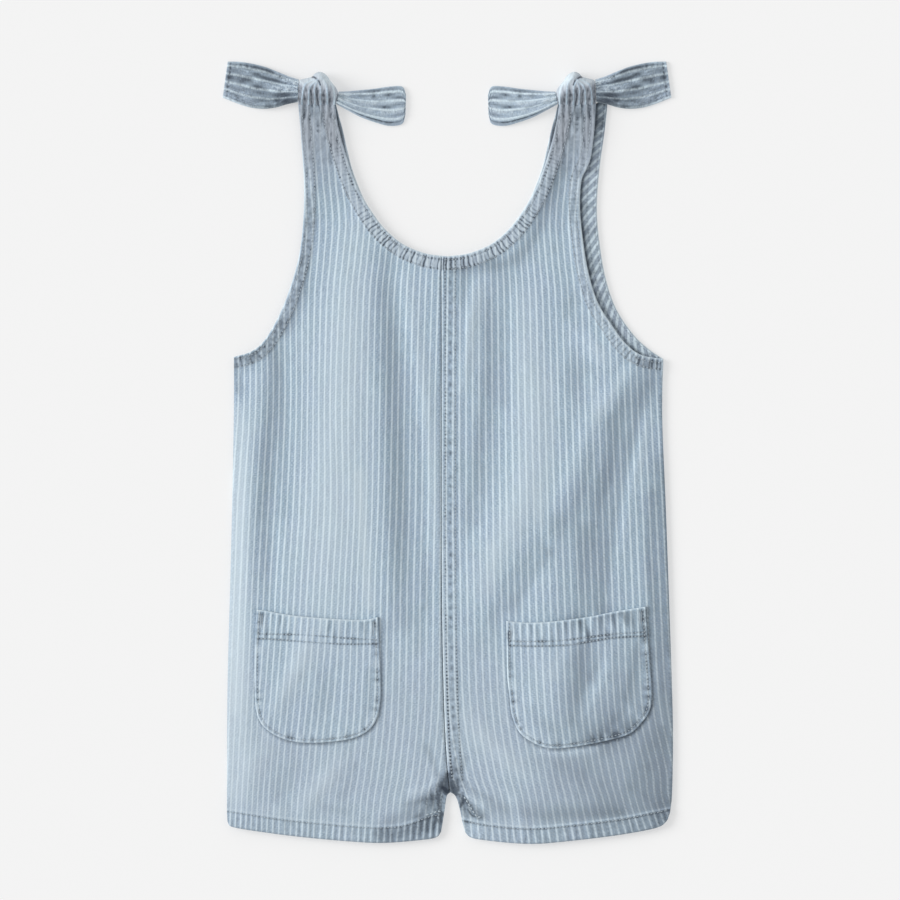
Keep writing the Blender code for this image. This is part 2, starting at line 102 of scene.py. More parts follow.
# Facing, ties and knots, with heights above the floor or along the garment
FACING_WALL = 0.9
BIAS_SLANT = math.radians(42)  # of the stripes to the strip's length
TIE_WALL = 2.0
TIE_SKIN = 0.7  # one of a tie's two layers
LINING_GAP = 0.35  # share of the room between them by which each is thicker
TIE_LENGTH = 48.0
TIE_END_STITCHES = 2.2  # from its end
TIE_EDGE_STITCHES = 2.0  # from its edges
TIE_KNOT_LIFT = 3.2
TIE_PLEATS = 3
TIE_PLEAT_DEPTH = 2.0
TIE_FADING = -0.26  # how much fainter a tie's stripes are than the garment's
KNOT_BASE = 225.8
KNOT_SIDE_HEIGHT = 4.6
KNOT_ROLL = 7.5
KNOT_TOP_HEIGHT = 12.2
KNOT_CLIMB = 8.0
KNOT_EDGE = 1.2

# Stitches
POCKET_STITCHES = 2.0  # from a pocket's edge to its row of stitches
BARTACK_LENGTH = 10.0
BARTACK_PITCH = 1.0
COARSE_PITCH = 2.7  # of the stitches at the crotch
COARSE_THREAD = 2.4  # times the thickness of the other thread
SUNK = 0.15  # share of a thread's thickness by which it stands above the cloth
THREAD_SIDES = 5

# How much darker a cloth is dyed, the inside cloth's partly as painted shade, and the bias strip's
# stripes against the usual ones
INSIDE_SHADE_TONE = -0.06
TIE_TONE = -0.04
BIAS_LINE_WIDTH = 1.45

# Stage, in metres
FLOOR_SIZE = 6.0
FLOOR_GAP = 0.00005  # keeps the floor's face off the backs'
FLOOR_GLOW = 0.42  # keeps the shadows faint
KEY_SOFTNESS = math.radians(34)
KEY_TURN = math.radians(-12)
CAMERA_HEIGHT = 1.2

# Spacing of mesh points
FINE = 0.65  # along edges and bands
ACROSS_EDGE = (0.12, 0.35, 0.7, 1.2)  # of the first rows of points inside an edge
ACROSS_BAND = 0.62
ROW_SHARE = 0.87  # of the rows of an even grid, as a share of its spacing
PANEL_GRID = 1.9
POCKET_GRID = 1.4
BACK_GRID = 5.0
KNOT_GRID = 0.45
FACING_GRID = 0.7
CROTCH_GRID = 0.7
TIE_STEPS = 24  # between two sections of a tie
TIE_POINTS = 57  # across a tie
SHAPE = 1.5  # on the curves that distances are taken from
COARSE_SHAPE = 4.0  # on those for soft, wide changes
STROKE_STEP = 9.0  # on the lines of the soft strokes
BATCH = 4096  # points whose distances are worked out together
DRAWS = 1024  # random numbers drawn for a line that wanders

# Edges, from top to bottom, a row for each point: x, y
LEFT_ARMHOLE = (
    (-96.7, 225.3), (-94.6, 200), (-93, 174), (-93.4, 150), (-96, 128), (-101.4, 108),
    (-109, 88.5), (-118.3, 72.4), (-127, 64.8), (-138.5, 61.1),
)
LEFT_SIDE = (
    (-138.5, 61.1), (-138.5, 30), (-139.3, -20), (-141, -90), (-142.6, -150), (-143, -205),
    (-143, -236),
)
LEFT_HEM = (
    (-143, -236), (-142.2, -242), (-137.9, -244.8), (-116, -248.3), (-95, -250.9),
    (-66, -253.6), (-42.3, -254.8), (-18, -253), (-7.2, -251.2), (-3.9, -247.6),
)
LEFT_INSEAM = (
    (-3.9, -247.6), (-2.6, -240), (-1.3, -231.5), (-0.6, -226.2), (0.2, -223.5), (1.9, -221.9),
)
FRONT_RIGHT_ARMHOLE = (
    (96.7, 225.3), (96, 211), (94.8, 200), (93.4, 190.5), (91, 184), (88.2, 178.5),
    (86.8, 171.5), (86.4, 159), (87.6, 143), (91.4, 118.3), (97.6, 97.5), (106.8, 82.4),
    (116.2, 69.8), (126.5, 62.4), (140.6, 59.8),
)
BACK_RIGHT_ARMHOLE = (
    (104.2, 228.2), (104, 222), (102.6, 209), (99.4, 185), (97.5, 160), (98.8, 138.5),
    (103, 113), (110, 92.5), (120.9, 76.1), (131, 66.4), (140.6, 59.8),
)
RIGHT_SIDE = (
    (140.6, 59.8), (139.9, 22), (142.2, -36), (144.6, -104), (146.4, -158), (146.9, -190),
    (146.3, -222), (145, -235),
)
RIGHT_HEM = (
    (145, -235), (142.4, -241), (135.9, -245), (117, -248.8), (96.9, -251.6), (73.5, -254.2),
    (57.9, -255.4), (42.3, -254.9), (24, -252.9), (15.4, -251.2), (11.8, -247.8),
)
RIGHT_INSEAM = (
    (11.8, -247.8), (9.9, -240.6), (8.4, -233.2), (6.8, -227.2), (5, -223.6), (2.5, -221.9),
)
# The outer corner of the right back strap, which reaches up beside its knot
STRAP_CORNER = (((98, STRAP_TOP),), ((98.1, 228.2),))
FRONT_NECK = (
    (-72.8, 225.3), (-71.2, 213.9), (-68.3, 201.5), (-63.6, 186), (-57.9, 171), (-50, 156.8),
    (-41, 144.8), (-29, 134.7), (-15, 128.7), (-3.7, 126.7),
)
BACK_NECK = (
    (-72.2, 225.3), (-70.2, 217.5), (-68, 209.5), (-65, 196.5), (-61.2, 182), (-54.6, 165.2),
    (-48.6, 155.2), (-40.6, 144.6), (-29, 134.7), (-15, 128.7), (0, 126.5),
)
FRONT_CENTRE = (
    (-3.7, 126.7), (-3.6, 60), (-3.6, -30), (-3.4, -100), (-2.2, -160), (-0.3, -200),
    (1.9, -221.9),
)
BACK_CENTRE = ((0, 126.5), (0, 0), (0.4, -150), (2.2, -221.9))

# Pockets, from the corner nearer the side seam, round the bottom, to the other top corner,
# then their mouths and the two rows that hold their hems, all from the left
LEFT_POCKET = (
    (-123.6, -103), (-124.9, -124), (-125.1, -143), (-124.6, -165), (-121.6, -175.8),
    (-115.5, -182.4), (-105.6, -187.4), (-94, -189.6), (-80, -189.5), (-63.5, -187.4),
    (-52.8, -182.9), (-46.6, -175.8), (-43.8, -166), (-43.1, -150), (-44.9, -107.9),
)
LEFT_MOUTH = (
    (-123.6, -103), (-116.4, -104), (-105.3, -106.1), (-89.1, -108), (-66.3, -109.5),
    (-53.3, -109.6), (-44.9, -107.9),
)
LEFT_POCKET_ROWS = (
    ((-122.9, -119), (-105.3, -119.2), (-89.1, -119.8), (-66.3, -121.6), (-45.5, -122.9)),
    ((-122.9, -121.8), (-111.8, -122.4), (-95.6, -123.7), (-66.3, -125.5), (-46, -125.2)),
)
RIGHT_POCKET = (
    (129.1, -101.1), (131, -128), (132.9, -155), (131.8, -168), (126.6, -176.4), (118.2, -184),
    (102, -188.7), (80.6, -192.6), (66.3, -193.2), (55.6, -189.4), (47, -182.8), (42.2, -172),
    (40.7, -160), (39, -144), (38.6, -110.4),
)
RIGHT_MOUTH = (
    (38.6, -110.4), (50.7, -111.5), (63.7, -111.2), (76.7, -109.9), (93, -107.6),
    (109.2, -104.3), (129.1, -101.1),
)
RIGHT_POCKET_ROWS = (
    ((40.2, -123.5), (54, -123.8), (73.5, -123.3), (93, -120.9), (109.2, -119), (129.6, -117.7)),
    (
        (40.2, -126.4), (57.2, -126.8), (76.7, -126.2),
        (93, -123.8), (109.2, -121.3), (129.8, -120.2),
    ),
)
Pocket = namedtuple("Pocket", "edge mouth rows")
POCKETS = {
    LEFT: Pocket(LEFT_POCKET, LEFT_MOUTH, LEFT_POCKET_ROWS),
    RIGHT: Pocket(RIGHT_POCKET, RIGHT_MOUTH, RIGHT_POCKET_ROWS),
}

# Soft strokes along bent lines, a row for each: the x and y of its start, of its bend and of
# its end, its width at both ends, and its amount. A fold's amount is its height, and a dye
# stroke's is how much paler (above 0) or darker (below 0) it makes the cloth, through its dye
# and through painted light and shade
FRONT_FOLDS = (
    (-61, 144, -69, 25, -80, -114, 13, 30, 1.7),
    (-39, 126, -33, 35, -27, -110, 7, 9, -1.8),
    (-27, 112, -13, 18, -7, -68, 6, 7, 1),
    (-110, 62, -117, -30, -119, -106, 7, 7, -1.5),
    (-132, 14, -136, -90, -139, -200, 7, 9, 1.2),
    (18, 104, 14, 75, 10, 40, 5, 4, 1.5),
    (29, 126, 29, 40, 18, -44, 6, 8, -1.3),
    (50, 96, 54, -10, 23, -88, 14, 12, 1.6),
    (83, 100, 83, 92, 85, 84, 7, 7, -0.6),
    (84, 58, 86, 46, 88, 36, 7, 8, -0.7),
    (92, 72, 98, 64, 104, 58, 7, 6, 1.3),
    (118, 52, 96, 20, 74, -34, 5, 8, 0.8),
    (135, 52, 103, 2, 89, -108, 9, 14, -1.6),
    (114, 4, 96, -26, 62, -54, 9, 9, -0.8),
    (80, -48, 44, -84, 24, -128, 8, 7, -0.8),
    (131, 22, 119, -25, 107, -96, 5, 5, 1.3),
    (64, -62, 62, -80, 58, -98, 8, 8, 0.5),
    (60, -126, 64, -150, 58, -180, 15, 13, 0.9),
    (88, -112, 88, -140, 84, -174, 7, 7, -1.2),
    (106, -118, 103, -142, 92, -168, 5, 6, 1.2),
    (-92, -126, -100, -145, -111, -166, 7, 7, 1.2),
    (-74, -136, -77, -155, -84, -172, 8, 8, -0.6),
    (-70, -203, -82, -218, -93, -231, 7, 7, 1.2),
    (-97, -203, -104, -215, -113, -229, 6, 7, -0.4),
    (-114, -186, -121, -198, -129, -213, 7, 8, 0.7),
    (14, -172, 30, -192, 56, -213, 8, 8, 1.1),
    (72, -200, 84, -208, 98, -214, 9, 9, -0.6),
    (41, -221, 46, -234, 51, -248, 4, 4, 0.9),
)

# Small creases, narrower than the folds
CREASES = (
    (10.7, 118, 10.6, 50, 10.4, -20, 1.6, 1.6, -0.35),
    (-12, -192, -7, -206, -3, -219, 2.4, 2, -0.6),
    (-22, -222, -14, -220, -5, -214, 2.6, 2.2, 0.6),
    (-26, -230, -17, -228, -8, -225, 2, 2, -0.6),
    (13, -200, 10, -210, 7, -219, 2.2, 2, -0.5),
    (8, -219, 14, -225, 24, -230, 2, 2.4, 0.7),
    (11, -214, 18, -221, 29, -226, 2, 2.2, -0.6),
    (10, -232, 15, -236, 22, -239, 2, 2, -0.5),
)
# Dye strokes: some are stains and washing, most are painted light and shade, paler towards the left
# and darker towards the right as lit from the left, paler on ridges, darker in troughs, and a
# painted shadow in the crotch's hollow
DYE_AND_SHADE_STROKES = (
    # Straps, neck and armholes
    (-81, 192, -81, 176, -79, 154, 13, 17, -0.09),
    (6, 122, 5, 112, 5, 100, 8, 6, -0.12),
    (0, 122, 46, 126, 74, 184, 5, 5, -0.36),
    (-92, 150, -98, 92, -136, 60, 4, 6.5, -0.42),
    (94, 222, 84, 214, 76, 208, 12, 12, -0.22),
    (-94, 222, -84, 214, -74, 208, 12, 12, -0.18),
    (86, 196, 80, 178, 74, 160, 14, 14, -0.14),
    (-82, 196, -78, 182, -72, 170, 14, 12, -0.08),
    (12.2, 118, 11, 90, 7.6, 50, 3.5, 3, -0.24),
    (-95.5, 118, -94.6, 90, -94.6, 58, 4, 4, 0.12),
    # Left front
    (-138, 50, -136, 44, -135, 38, 3.5, 3.5, -0.30),
    (-24.5, 75, -19, 5, -14.3, -100, 3.5, 4, -0.20),
    (-57, -15, -54, -60, -50.5, -100, 3.5, 3.5, 0.33),
    (-112, 66, -106.5, 25, -105, -42, 4.5, 4.5, -0.18),
    (-132, 60, -127, 62.5, -120, 68, 3.5, 4, -0.25),
    (-123.5, 48, -123, 33, -123, 12, 3.5, 3.5, 0.16),
    (-121, -48, -123, -85, -123, -122, 3, 3, 0.16),
    (-42, 104, -45.5, 80, -46.5, 45, 4, 4, -0.10),
    (-18, 14, -16, -10, -14.5, -32, 2.5, 2.5, -0.13),
    # Right front
    (138, 60, 132, 58, 122, 62, 5, 5, -0.26),
    (38.5, 112, 38.2, 75, 38, 32, 4.5, 4.5, -0.24),
    (130, 44, 115.5, -19, 101, -104, 4.5, 6, -0.32),
    (93, 45, 100, 5, 90, -42, 4.5, 5.5, 0.28),
    (67, 45, 68, 5, 61, -48, 4, 4.5, 0.16),
    (66, -66, 55, -82, 42, -102, 4.5, 4.5, -0.22),
    (84, 92, 79, 75, 73, 52, 4, 4, 0.13),
    (27, 121, 21, 85, 20.5, 55, 3, 3, 0.18),
    (26, 32, 25.5, 14, 25, -6, 3, 3, 0.12),
    (129, 46, 128, 15, 127, -26, 3, 3, 0.16),
    (114, 50, 110, 40, 105, 28, 3.5, 3.5, 0.22),
    (133, -28, 131, -65, 134, -103, 3.5, 3.5, -0.22),
    (58, -24, 59, -38, 66, -60, 3.5, 3.5, 0.18),
    (80, -32, 81, -70, 80, -102, 3, 3, 0.12),
    (29.6, -62, 29.6, -77, 29, -90, 3, 3, 0.17),
    # Left pocket and leg
    (-38, -240, -28, -237, -14, -230, 3.6, 5, -0.26),
    (-10, -243, -28, -248, -42, -249, 6, 6, -0.55),
    (-137, 24, -139, -110, -140, -222, 9, 12, 0.34),
    (-2.2, -60, -1.9, -120, -1.3, -182, 2, 2.2, 0.20),
    (-51, -142, -51, -158, -53, -176, 3, 3, -0.18),
    (-123.5, -165, -122.5, -176, -118, -184, 2.5, 2.5, 0.20),
    (-17, -104, -18.5, -117, -19, -130, 3, 3, -0.16),
    (-110, -108, -108, -134, -112, -160, 4, 4, -0.13),
    (-138, -174, -137.5, -192, -137, -208, 3, 3, -0.16),
    (-1.7, -118, -1.6, -145, -1.3, -180, 1.8, 1.8, 0.16),
    (-60, -205, -63, -214, -68, -225, 3.5, 3.5, -0.14),
    (-122, -232, -115, -233, -106, -234, 3, 3, 0.16),
    (-80, -232, -73, -233, -66, -235, 3, 3, -0.14),
    # Right pocket and leg
    (142, -10, 145, -110, 146, -232, 8, 14, -0.34),
    (145, -136, 147, -175, 147, -222, 3.5, 4.5, 0.26),
    (104, -228, 116, -231, 134, -234, 12, 13, -0.14),
    (112, -178, 106, -184, 96, -188, 10, 8, -0.42),
    (94, -110, 88, -116, 82, -124, 5, 5, 0.30),
    (74, -130, 72, -137, 68, -146, 4, 4, 0.18),
    (103, -126, 99.5, -137, 95, -148, 4.5, 4.5, -0.20),
    (124, -128, 121, -143, 116, -160, 4, 4, -0.24),
    (62, -194.5, 77, -196, 97, -193, 3, 3, 0.30),
    (130, -190, 126, -203, 121, -218, 6, 6, -0.16),
    (30, -231, 60, -236, 112, -235, 5, 5, -0.24),
    (36.5, -140, 36.8, -158, 38, -176, 2.5, 2.5, 0.16),
    (135.5, -140, 136, -156, 140, -176, 3, 3, 0.24),
    (55, -168, 60, -176, 67, -180, 4, 4, -0.14),
    (119, -169, 115, -175, 109, -180, 3, 3, 0.20),
    (131, -205, 130, -215, 129, -225, 3, 3, -0.14),
    # Round the crotch, with a painted shadow in its hollow
    (2.4, -207, 1.8, -214, 1.2, -221, 4, 7.5, -0.50),
    (-2.8, -218.8, -1.4, -219.8, 0.2, -221.4, 0.9, 1.5, -3.00),
    (0.2, -210, -1, -215, -3, -220, 1.6, 2.6, -0.50),
    (0.6, -210, 2, -217, 4.4, -222.4, 1.4, 1.8, -0.85),
    (11.2, -226.8, 10.8, -228, 10.2, -228.8, 0.7, 0.7, -1.40),
    (9.4, -229.8, 9, -230.6, 8.8, -231.4, 0.6, 0.6, -1.10),
    (13.6, -233, 15.4, -236.2, 17.6, -237.6, 0.7, 0.7, -0.60),
    (-3, -215, -9, -223, -18, -236, 4, 6.5, -0.44),
    (-6, -221, -5.6, -226, -5, -232, 1, 1.2, -0.36),
    (-10.4, -221, -9.6, -227, -8.6, -233, 1, 1.1, -0.28),
    (-20, -237.8, -12, -238, -5, -235, 2.2, 2.2, -0.24),
    (5, -218, 10, -226, 22, -237, 2.6, 3.4, -0.55),
    (-5.2, -226, -4.6, -232, -5, -240, 2.2, 2.2, -0.60),
    (9.6, -229, 11.4, -235, 13.6, -241, 2.2, 2.4, -0.35),
    (-16, -230, -18, -233, -21, -236, 2.5, 2.5, 0.30),
    (-9, -206, -8.1, -214, -8, -221, 2.5, 2.5, 0.24),
)
# Coarse stitches that close the legs at the crotch
INSEAM_STITCHES = (
    ((-15, -237.6), (-12.4, -236.2), (-9.8, -235.7), (-5.9, -234.2), (-2.9, -234.9)),
    ((10.2, -223.2), (11.6, -225.4), (15, -231), (17.6, -235.2), (20.2, -238), (23.6, -237.2)),
)
# Painted shade, darker towards the right leg and the right side, away from the key light
RIGHT_LEG_SHADE = -0.20
RIGHT_SHADE = -0.10

# Stripes, a row for each height: y, and where stripes 0, 8, 16, 24 and 32, counted from the
# centre seam, cross it
STRIPE_STEP = 8
LEFT_STRIPES = (
    (228, -3.6, -36.7, -69.9, -102.7, -135.5),
    (202, -3.6, -36.7, -69.7, -103.4, -136.5),
    (176, -2, -34.5, -68.3, -100.9, -134),
    (150, -2, -33.5, -65.7, -99.8, -132.5),
    (124, -4.9, -36.1, -67.8, -100.4, -131.3),
    (98, -5.9, -38.5, -70.1, -102, -132.5),
    (33, -7.7, -39.6, -72.3, -101.5, -131.8),
    (-32, -7.9, -40.9, -71.5, -103.8, -135.9),
    (-84, -8.8, -42.8, -74, -107.1, -138),
    (-162, -9.6, -44.4, -78.6, -111, -141),
    (-207, -13.5, -48.6, -82.5, -114.6, -142.8),
    (-227, -17.2, -51.7, -85.2, -116.1, -143.8),
    (-256, -20, -54, -87, -117.5, -145),
)
RIGHT_STRIPES = (
    (228, 12.4, 45.5, 78.5, 111.2, 144),
    (202, 12.4, 45.5, 78.7, 111.4, 144),
    (176, 11.5, 44.2, 77.3, 109.9, 142.5),
    (150, 10, 42.3, 74.9, 108.1, 141),
    (124, 12.4, 43.9, 76.6, 109.2, 143),
    (98, 12.6, 45.4, 79, 113.1, 147),
    (33, 12.4, 46.4, 81.1, 115.7, 149),
    (-32, 12.5, 47.5, 83.2, 118.3, 153),
    (-84, 13.1, 48.3, 85.2, 120.3, 156),
    (-162, 15, 51.9, 89, 124.2, 161),
    (-207, 21.5, 59, 95.7, 133.4, 170),
    (-227, 27.2, 62.9, 101.6, 135.9, 171),
    (-256, 30.5, 67.5, 109, 147, 184),
)
FOLD_END = 0.55  # share of a fold's height that is left at its ends
FOLD_WEAR_AND_SHADE = 0.24  # how much paler a fold's ridge and darker its trough are for each millimetre of its height: washing, and painted light and shade
SEAM_BLOT_PITCH = 6.6
SEAM_MIDDLE = 5.8  # from its edge to between its rows
SEAM_STITCHES_END = -211.0
LEG_TOP = -90.0
CROTCH = (2, -226)  # the middle of its dark specks, and how far they reach
CROTCH_REACH = 17
CROTCH_BOX = ((-26, 28), (-243, -203))  # where its cloth has a finer grid
STRIPE_PITCH = 4.1  # width of one stripe and its ground, where the cloth lies straight

# Ties of the left bow, a row for each section from the knot outwards: the x and y of the
# tie's upper edge, and of its lower edge
OUTER_TIE = (
    (-96.3, 241.5, -96.95, 226.8), (-103, 243.6, -104.4, 225.2), (-109.3, 246.2, -111, 223.3),
    (-117.7, 249.5, -118.5, 222.4), (-125.9, 251.6, -127.4, 223.2),
    (-134.2, 252.9, -136.6, 226), (-142.5, 253.2, -145.8, 229.7),
)
INNER_TIE = (
    (-70.45, 233.6, -72.05, 225.5), (-64, 233.9, -63.8, 220.9), (-56, 234.6, -55.4, 216.7),
    (-46.6, 235.6, -45.4, 213.2), (-36.4, 237, -37.2, 211.3), (-29, 236.8, -29.2, 212.6),
    (-26.6, 231.6, -27, 218.6),
)

# Blots on a tie, of dye and of painted light and shade on its folds and edges, a row for each:
# where it lies along and across the tie, in shares of its length from the knot and of its width
# from the upper edge, half its size both ways, and how much paler or darker it is
OUTER_BLOTS = (
    (0.54, 0.07, 0.20, 0.05, -0.55), (0.61, 0.23, 0.06, 0.05, -0.50),
    (0.51, 0.27, 0.06, 0.04, -0.45), (0.36, 0.26, 0.11, 0.05, -0.60),
    (0.80, 0.43, 0.05, 0.06, -0.55), (0.72, 0.37, 0.05, 0.06, -0.45),
    (0.94, 0.41, 0.05, 0.06, -0.55), (0.59, 0.50, 0.07, 0.05, -0.55),
    (0.55, 0.63, 0.12, 0.04, -0.35), (0.24, 0.66, 0.13, 0.06, -0.80),
    (0.32, 0.80, 0.06, 0.05, -0.75), (0.19, 0.84, 0.06, 0.05, -0.75),
    (0.52, 0.80, 0.12, 0.05, -0.35), (0.38, 0.97, 0.30, 0.05, -0.55),
    (0.10, 0.90, 0.12, 0.12, -0.60), (0.03, 0.30, 0.06, 0.30, 0.34),
    (0.26, 0.42, 0.18, 0.08, 0.35), (0.12, 0.30, 0.10, 0.14, 0.15),
    (0.86, 0.88, 0.10, 0.08, 0.12), (0.90, 0.22, 0.08, 0.05, -0.20),
    (0.16, 0.14, 0.16, 0.12, 0.32),
)
INNER_BLOTS = (
    (0.50, 0.05, 0.40, 0.05, -0.45), (0.34, 0.23, 0.06, 0.06, -0.35),
    (0.48, 0.22, 0.03, 0.09, -0.55), (0.65, 0.21, 0.07, 0.05, -0.60),
    (0.82, 0.29, 0.15, 0.035, -0.65), (0.56, 0.36, 0.06, 0.03, -0.45),
    (0.36, 0.58, 0.10, 0.03, -0.35), (0.60, 0.52, 0.10, 0.045, -0.75),
    (0.82, 0.47, 0.12, 0.03, -0.50), (0.80, 0.74, 0.14, 0.035, -0.42),
    (0.45, 0.44, 0.20, 0.05, 0.22), (0.70, 0.64, 0.20, 0.05, 0.15),
    (0.50, 0.91, 0.45, 0.020, -0.75), (0.60, 0.97, 0.40, 0.05, -0.32),
    (0.05, 0.42, 0.12, 0.34, 0.50),
)
# How a tie is made: its sections, its blots, how many stripes it has and where the first one
# lies, where its pale folded edge lies, how clear its stripes are, how pale it is, and the
# seed of its unevenness
TieStyle = namedtuple("TieStyle", "table blots stripes first_stripe fold_line line tone seed")
OUTER = TieStyle(OUTER_TIE, OUTER_BLOTS, 4.7, 0.45, None, 0.75, -0.32, 5)
INNER = TieStyle(INNER_TIE, INNER_BLOTS, 4.35, 0.40, 0.865, 0.45, 0.16, 8)

# The left knot, and the right one mirrored: its outline, x and y, from the inner corner of
# its base over the top
KNOT_OUTLINE = (
    (-72.4, 225), (-71.5, 228.6), (-70.8, 232.4), (-72.1, 236), (-75.6, 240.4), (-77.4, 243.2),
    (-80, 245.6), (-83.2, 246.5), (-86.2, 245.2), (-87.6, 243.4), (-91.4, 242.3),
    (-95.5, 241.1), (-96.2, 238.4), (-96.6, 232.4), (-96.75, 225),
)
KNOT_FOLDS = (
    (-86, 244.2, -78.5, 243.5, -75, 231, 2.4, 4.2, 1.3),
    (-96, 231, -94.6, 239.4, -86, 241.2, 2.2, 2.2, 0.8),
)
# Grooves of the left knot, sunk in its shape and darkened with painted shade
KNOT_GROOVES = (
    (-87.4, 243.3, -85.8, 242.8, -84.2, 241.5, 0.8, 0.7, -1.7),
    (-83.3, 240.7, -82.8, 239.4, -82.3, 238, 0.6, 0.5, -1.6),
    (-86.9, 237.6, -87.4, 234.2, -87.8, 231, 0.7, 0.7, -0.5),
)
# Pleats of the left knot, a row for each: the x and y of four places from the strap over the
# top, and how clear its pale line is
KNOT_PLEATS = (
    (-94.3, 225, -94.1, 231.4, -92.2, 238.4, -86.4, 241.6, 0.75),
    (-90, 225, -89.9, 230.8, -88.9, 236.8, -84.6, 241.2, 0.95),
    (-85.8, 225, -86, 230.1, -86.2, 235.4, -84.4, 240.2, 0.55),
    (-81.9, 225, -82.5, 229.5, -82.2, 234.4, -83.4, 240, 0.85),
    (-77.8, 225, -77.9, 232, -78.5, 238.6, -81.6, 243.2, 0.95),
    (-73.4, 225, -73.2, 230.8, -74.4, 237, -79.6, 244.2, 1.35),
)
# Painted light and shade on the left knot: paler on its upper loop, darker along its outer side and
# in its two slits
KNOT_LIGHT_AND_SHADE = (
    (-79.6, 244.8, -75, 239, -71.6, 231.5, 3.4, 3, 0.60),
    (-95.5, 237.6, -95.7, 231, -95.4, 223, 0.9, 0.8, -0.60),
    (-92.2, 240, -89, 241.6, -86, 242, 2, 2, 0.16),
    (-87.6, 243.2, -86.4, 242.9, -85.2, 242.2, 0.6, 0.5, -1.30),
    (-83.2, 240.6, -82.7, 239.2, -82.4, 238, 0.6, 0.5, -0.90),
)
# Painted shade in streaks between the pleats of the left strap and knot, and painted highlights on
# some pleats
GATHER_SHADE_START = 160.0
GATHER_SHADE_STREAKS = (
    (-92, 235.6, -92.2, 229.6, -92.6, 218, 1.6, 1.2, -0.36),
    (-93.2, 222, -93.5, 216, -93.8, 211, 0.7, 0.5, -0.40),
    (-89, 236, -88, 228.4, -86.6, 217, 1, 0.8, -0.62),
    (-84.9, 235.6, -83.6, 226.6, -80.8, 214, 0.9, 0.8, -0.75),
    (-80.2, 231, -79.9, 225.6, -79.6, 220.6, 1.7, 1.4, -0.36),
    (-76.2, 233.4, -75.9, 225, -75, 214, 1.3, 1.1, -0.44),
    (-89.2, 216, -89.4, 206, -89.6, 198, 0.9, 0.7, -0.26),
    (-75.4, 206, -75.4, 196, -75, 187, 0.9, 0.8, -0.36),
    (-71.6, 205, -71.2, 198, -69.8, 190, 0.8, 0.8, -0.40),
    (-84.4, 216, -84.2, 209.5, -84, 203, 0.7, 0.6, -0.50),
    (-78.7, 215, -78.5, 209, -78.3, 203, 1, 0.9, -0.50),
    (-85.8, 217, -85.6, 210, -85.4, 202, 0.6, 0.5, 0.50),
    (-81.2, 217, -81, 209, -80.8, 201, 0.6, 0.5, 0.50),
    (-76.7, 216, -76.6, 209, -76.4, 202, 0.6, 0.5, 0.40),
    (-72.7, 215, -72.5, 209, -72.3, 203, 0.6, 0.5, 0.45),
)


# ---------------------------------------------------------------- curves and distances


def smooth(rows, spacing):
    """Points about spacing apart on a smooth curve through a table's rows."""
    knots = np.array(rows, float)
    ends = np.vstack([2 * knots[0] - knots[1], knots, 2 * knots[-1] - knots[-2]])
    parts = []
    for before, start, end, after in zip(ends, ends[1:], ends[2:], ends[3:]):
        steps = max(1, round(float(np.linalg.norm((end - start)[:2])) / spacing))
        t = np.arange(steps)[:, None] / steps
        bend = 2 * before - 5 * start + 4 * end - after
        twist = 3 * start - before - 3 * end + after
        parts.append(start + ((end - before) * t + bend * t**2 + twist * t**3) / 2)
    return np.vstack([*parts, knots[-1:]])


def mirrored(rows):
    return [(-row[0], *row[1:]) for row in rows]


def beside(curve, offset):
    """The curve moved sideways, to its left as it runs when offset is above 0."""
    along = np.gradient(curve, axis=0)
    side = np.stack([-along[:, 1], along[:, 0]], axis=1)
    return curve + offset * side / np.linalg.norm(side, axis=1, keepdims=True)


def filled(outline, spacing):
    """A closed outline with points added where two of its points lie far apart."""
    made = []
    for start, end in zip(outline, np.roll(outline, -1, axis=0)):
        steps = max(1, round(float(np.linalg.norm(end - start)) / spacing))
        made.append(start + (end - start) * np.arange(steps)[:, None] / steps)
    return np.vstack(made)


def near(points, curve):
    """How far along a curve each point lies, and how far off it, above 0 on its left."""
    starts, steps = curve[:-1], np.diff(curve, axis=0)
    lengths = np.maximum(np.linalg.norm(steps, axis=1), 1e-9)
    travelled = np.concatenate([[0.0], np.cumsum(lengths)])
    along, off = np.empty(len(points)), np.empty(len(points))
    for first in range(0, len(points), BATCH):
        batch = slice(first, first + BATCH)
        reach = points[batch, None] - starts
        share = np.clip((reach * steps).sum(axis=2) / lengths**2, 0, 1)
        away = reach - share[..., None] * steps
        apart = np.hypot(away[..., 0], away[..., 1])
        best = apart.argmin(axis=1)
        rows = np.arange(len(best))
        turn = steps[best, 0] * reach[rows, best, 1] - steps[best, 1] * reach[rows, best, 0]
        along[batch] = travelled[best] + share[rows, best] * lengths[best]
        off[batch] = apart[rows, best] * np.where(turn < 0, -1, 1)
    return along, off


def length_of(curve):
    return np.linalg.norm(np.diff(curve, axis=0), axis=1).sum()


def distance(points, curve):
    return np.abs(near(points, curve)[1])


def ease(value):
    """0 below 0, 1 above 1, and a smooth rise between them."""
    value = np.clip(value, 0.0, 1.0)
    return value * value * (3 - 2 * value)


def above(points, height, over):
    """0 up to a height, rising to 1 over a distance, which is below 0 for the way down."""
    return ease((points[:, 1] - height) / over)


def bump(value):
    """1 at 0, falling away smoothly on both sides."""
    return np.exp(-value * value)


def wander(value, seed):
    """A smooth line that wanders between about -1 and 1, a turn for each unit of value."""
    places = np.random.default_rng(seed).uniform(-1, 1, DRAWS)
    cell = np.floor(value).astype(int)
    share = ease(value - cell)
    return places[cell % DRAWS] * (1 - share) + places[(cell + 1) % DRAWS] * share


def uneven(points, across, along, seed):
    """Soft unevenness between about -1 and 1, with patches of that width and length."""
    return np.array([noise.noise((x / across, y / along, seed)) for x, y in points])


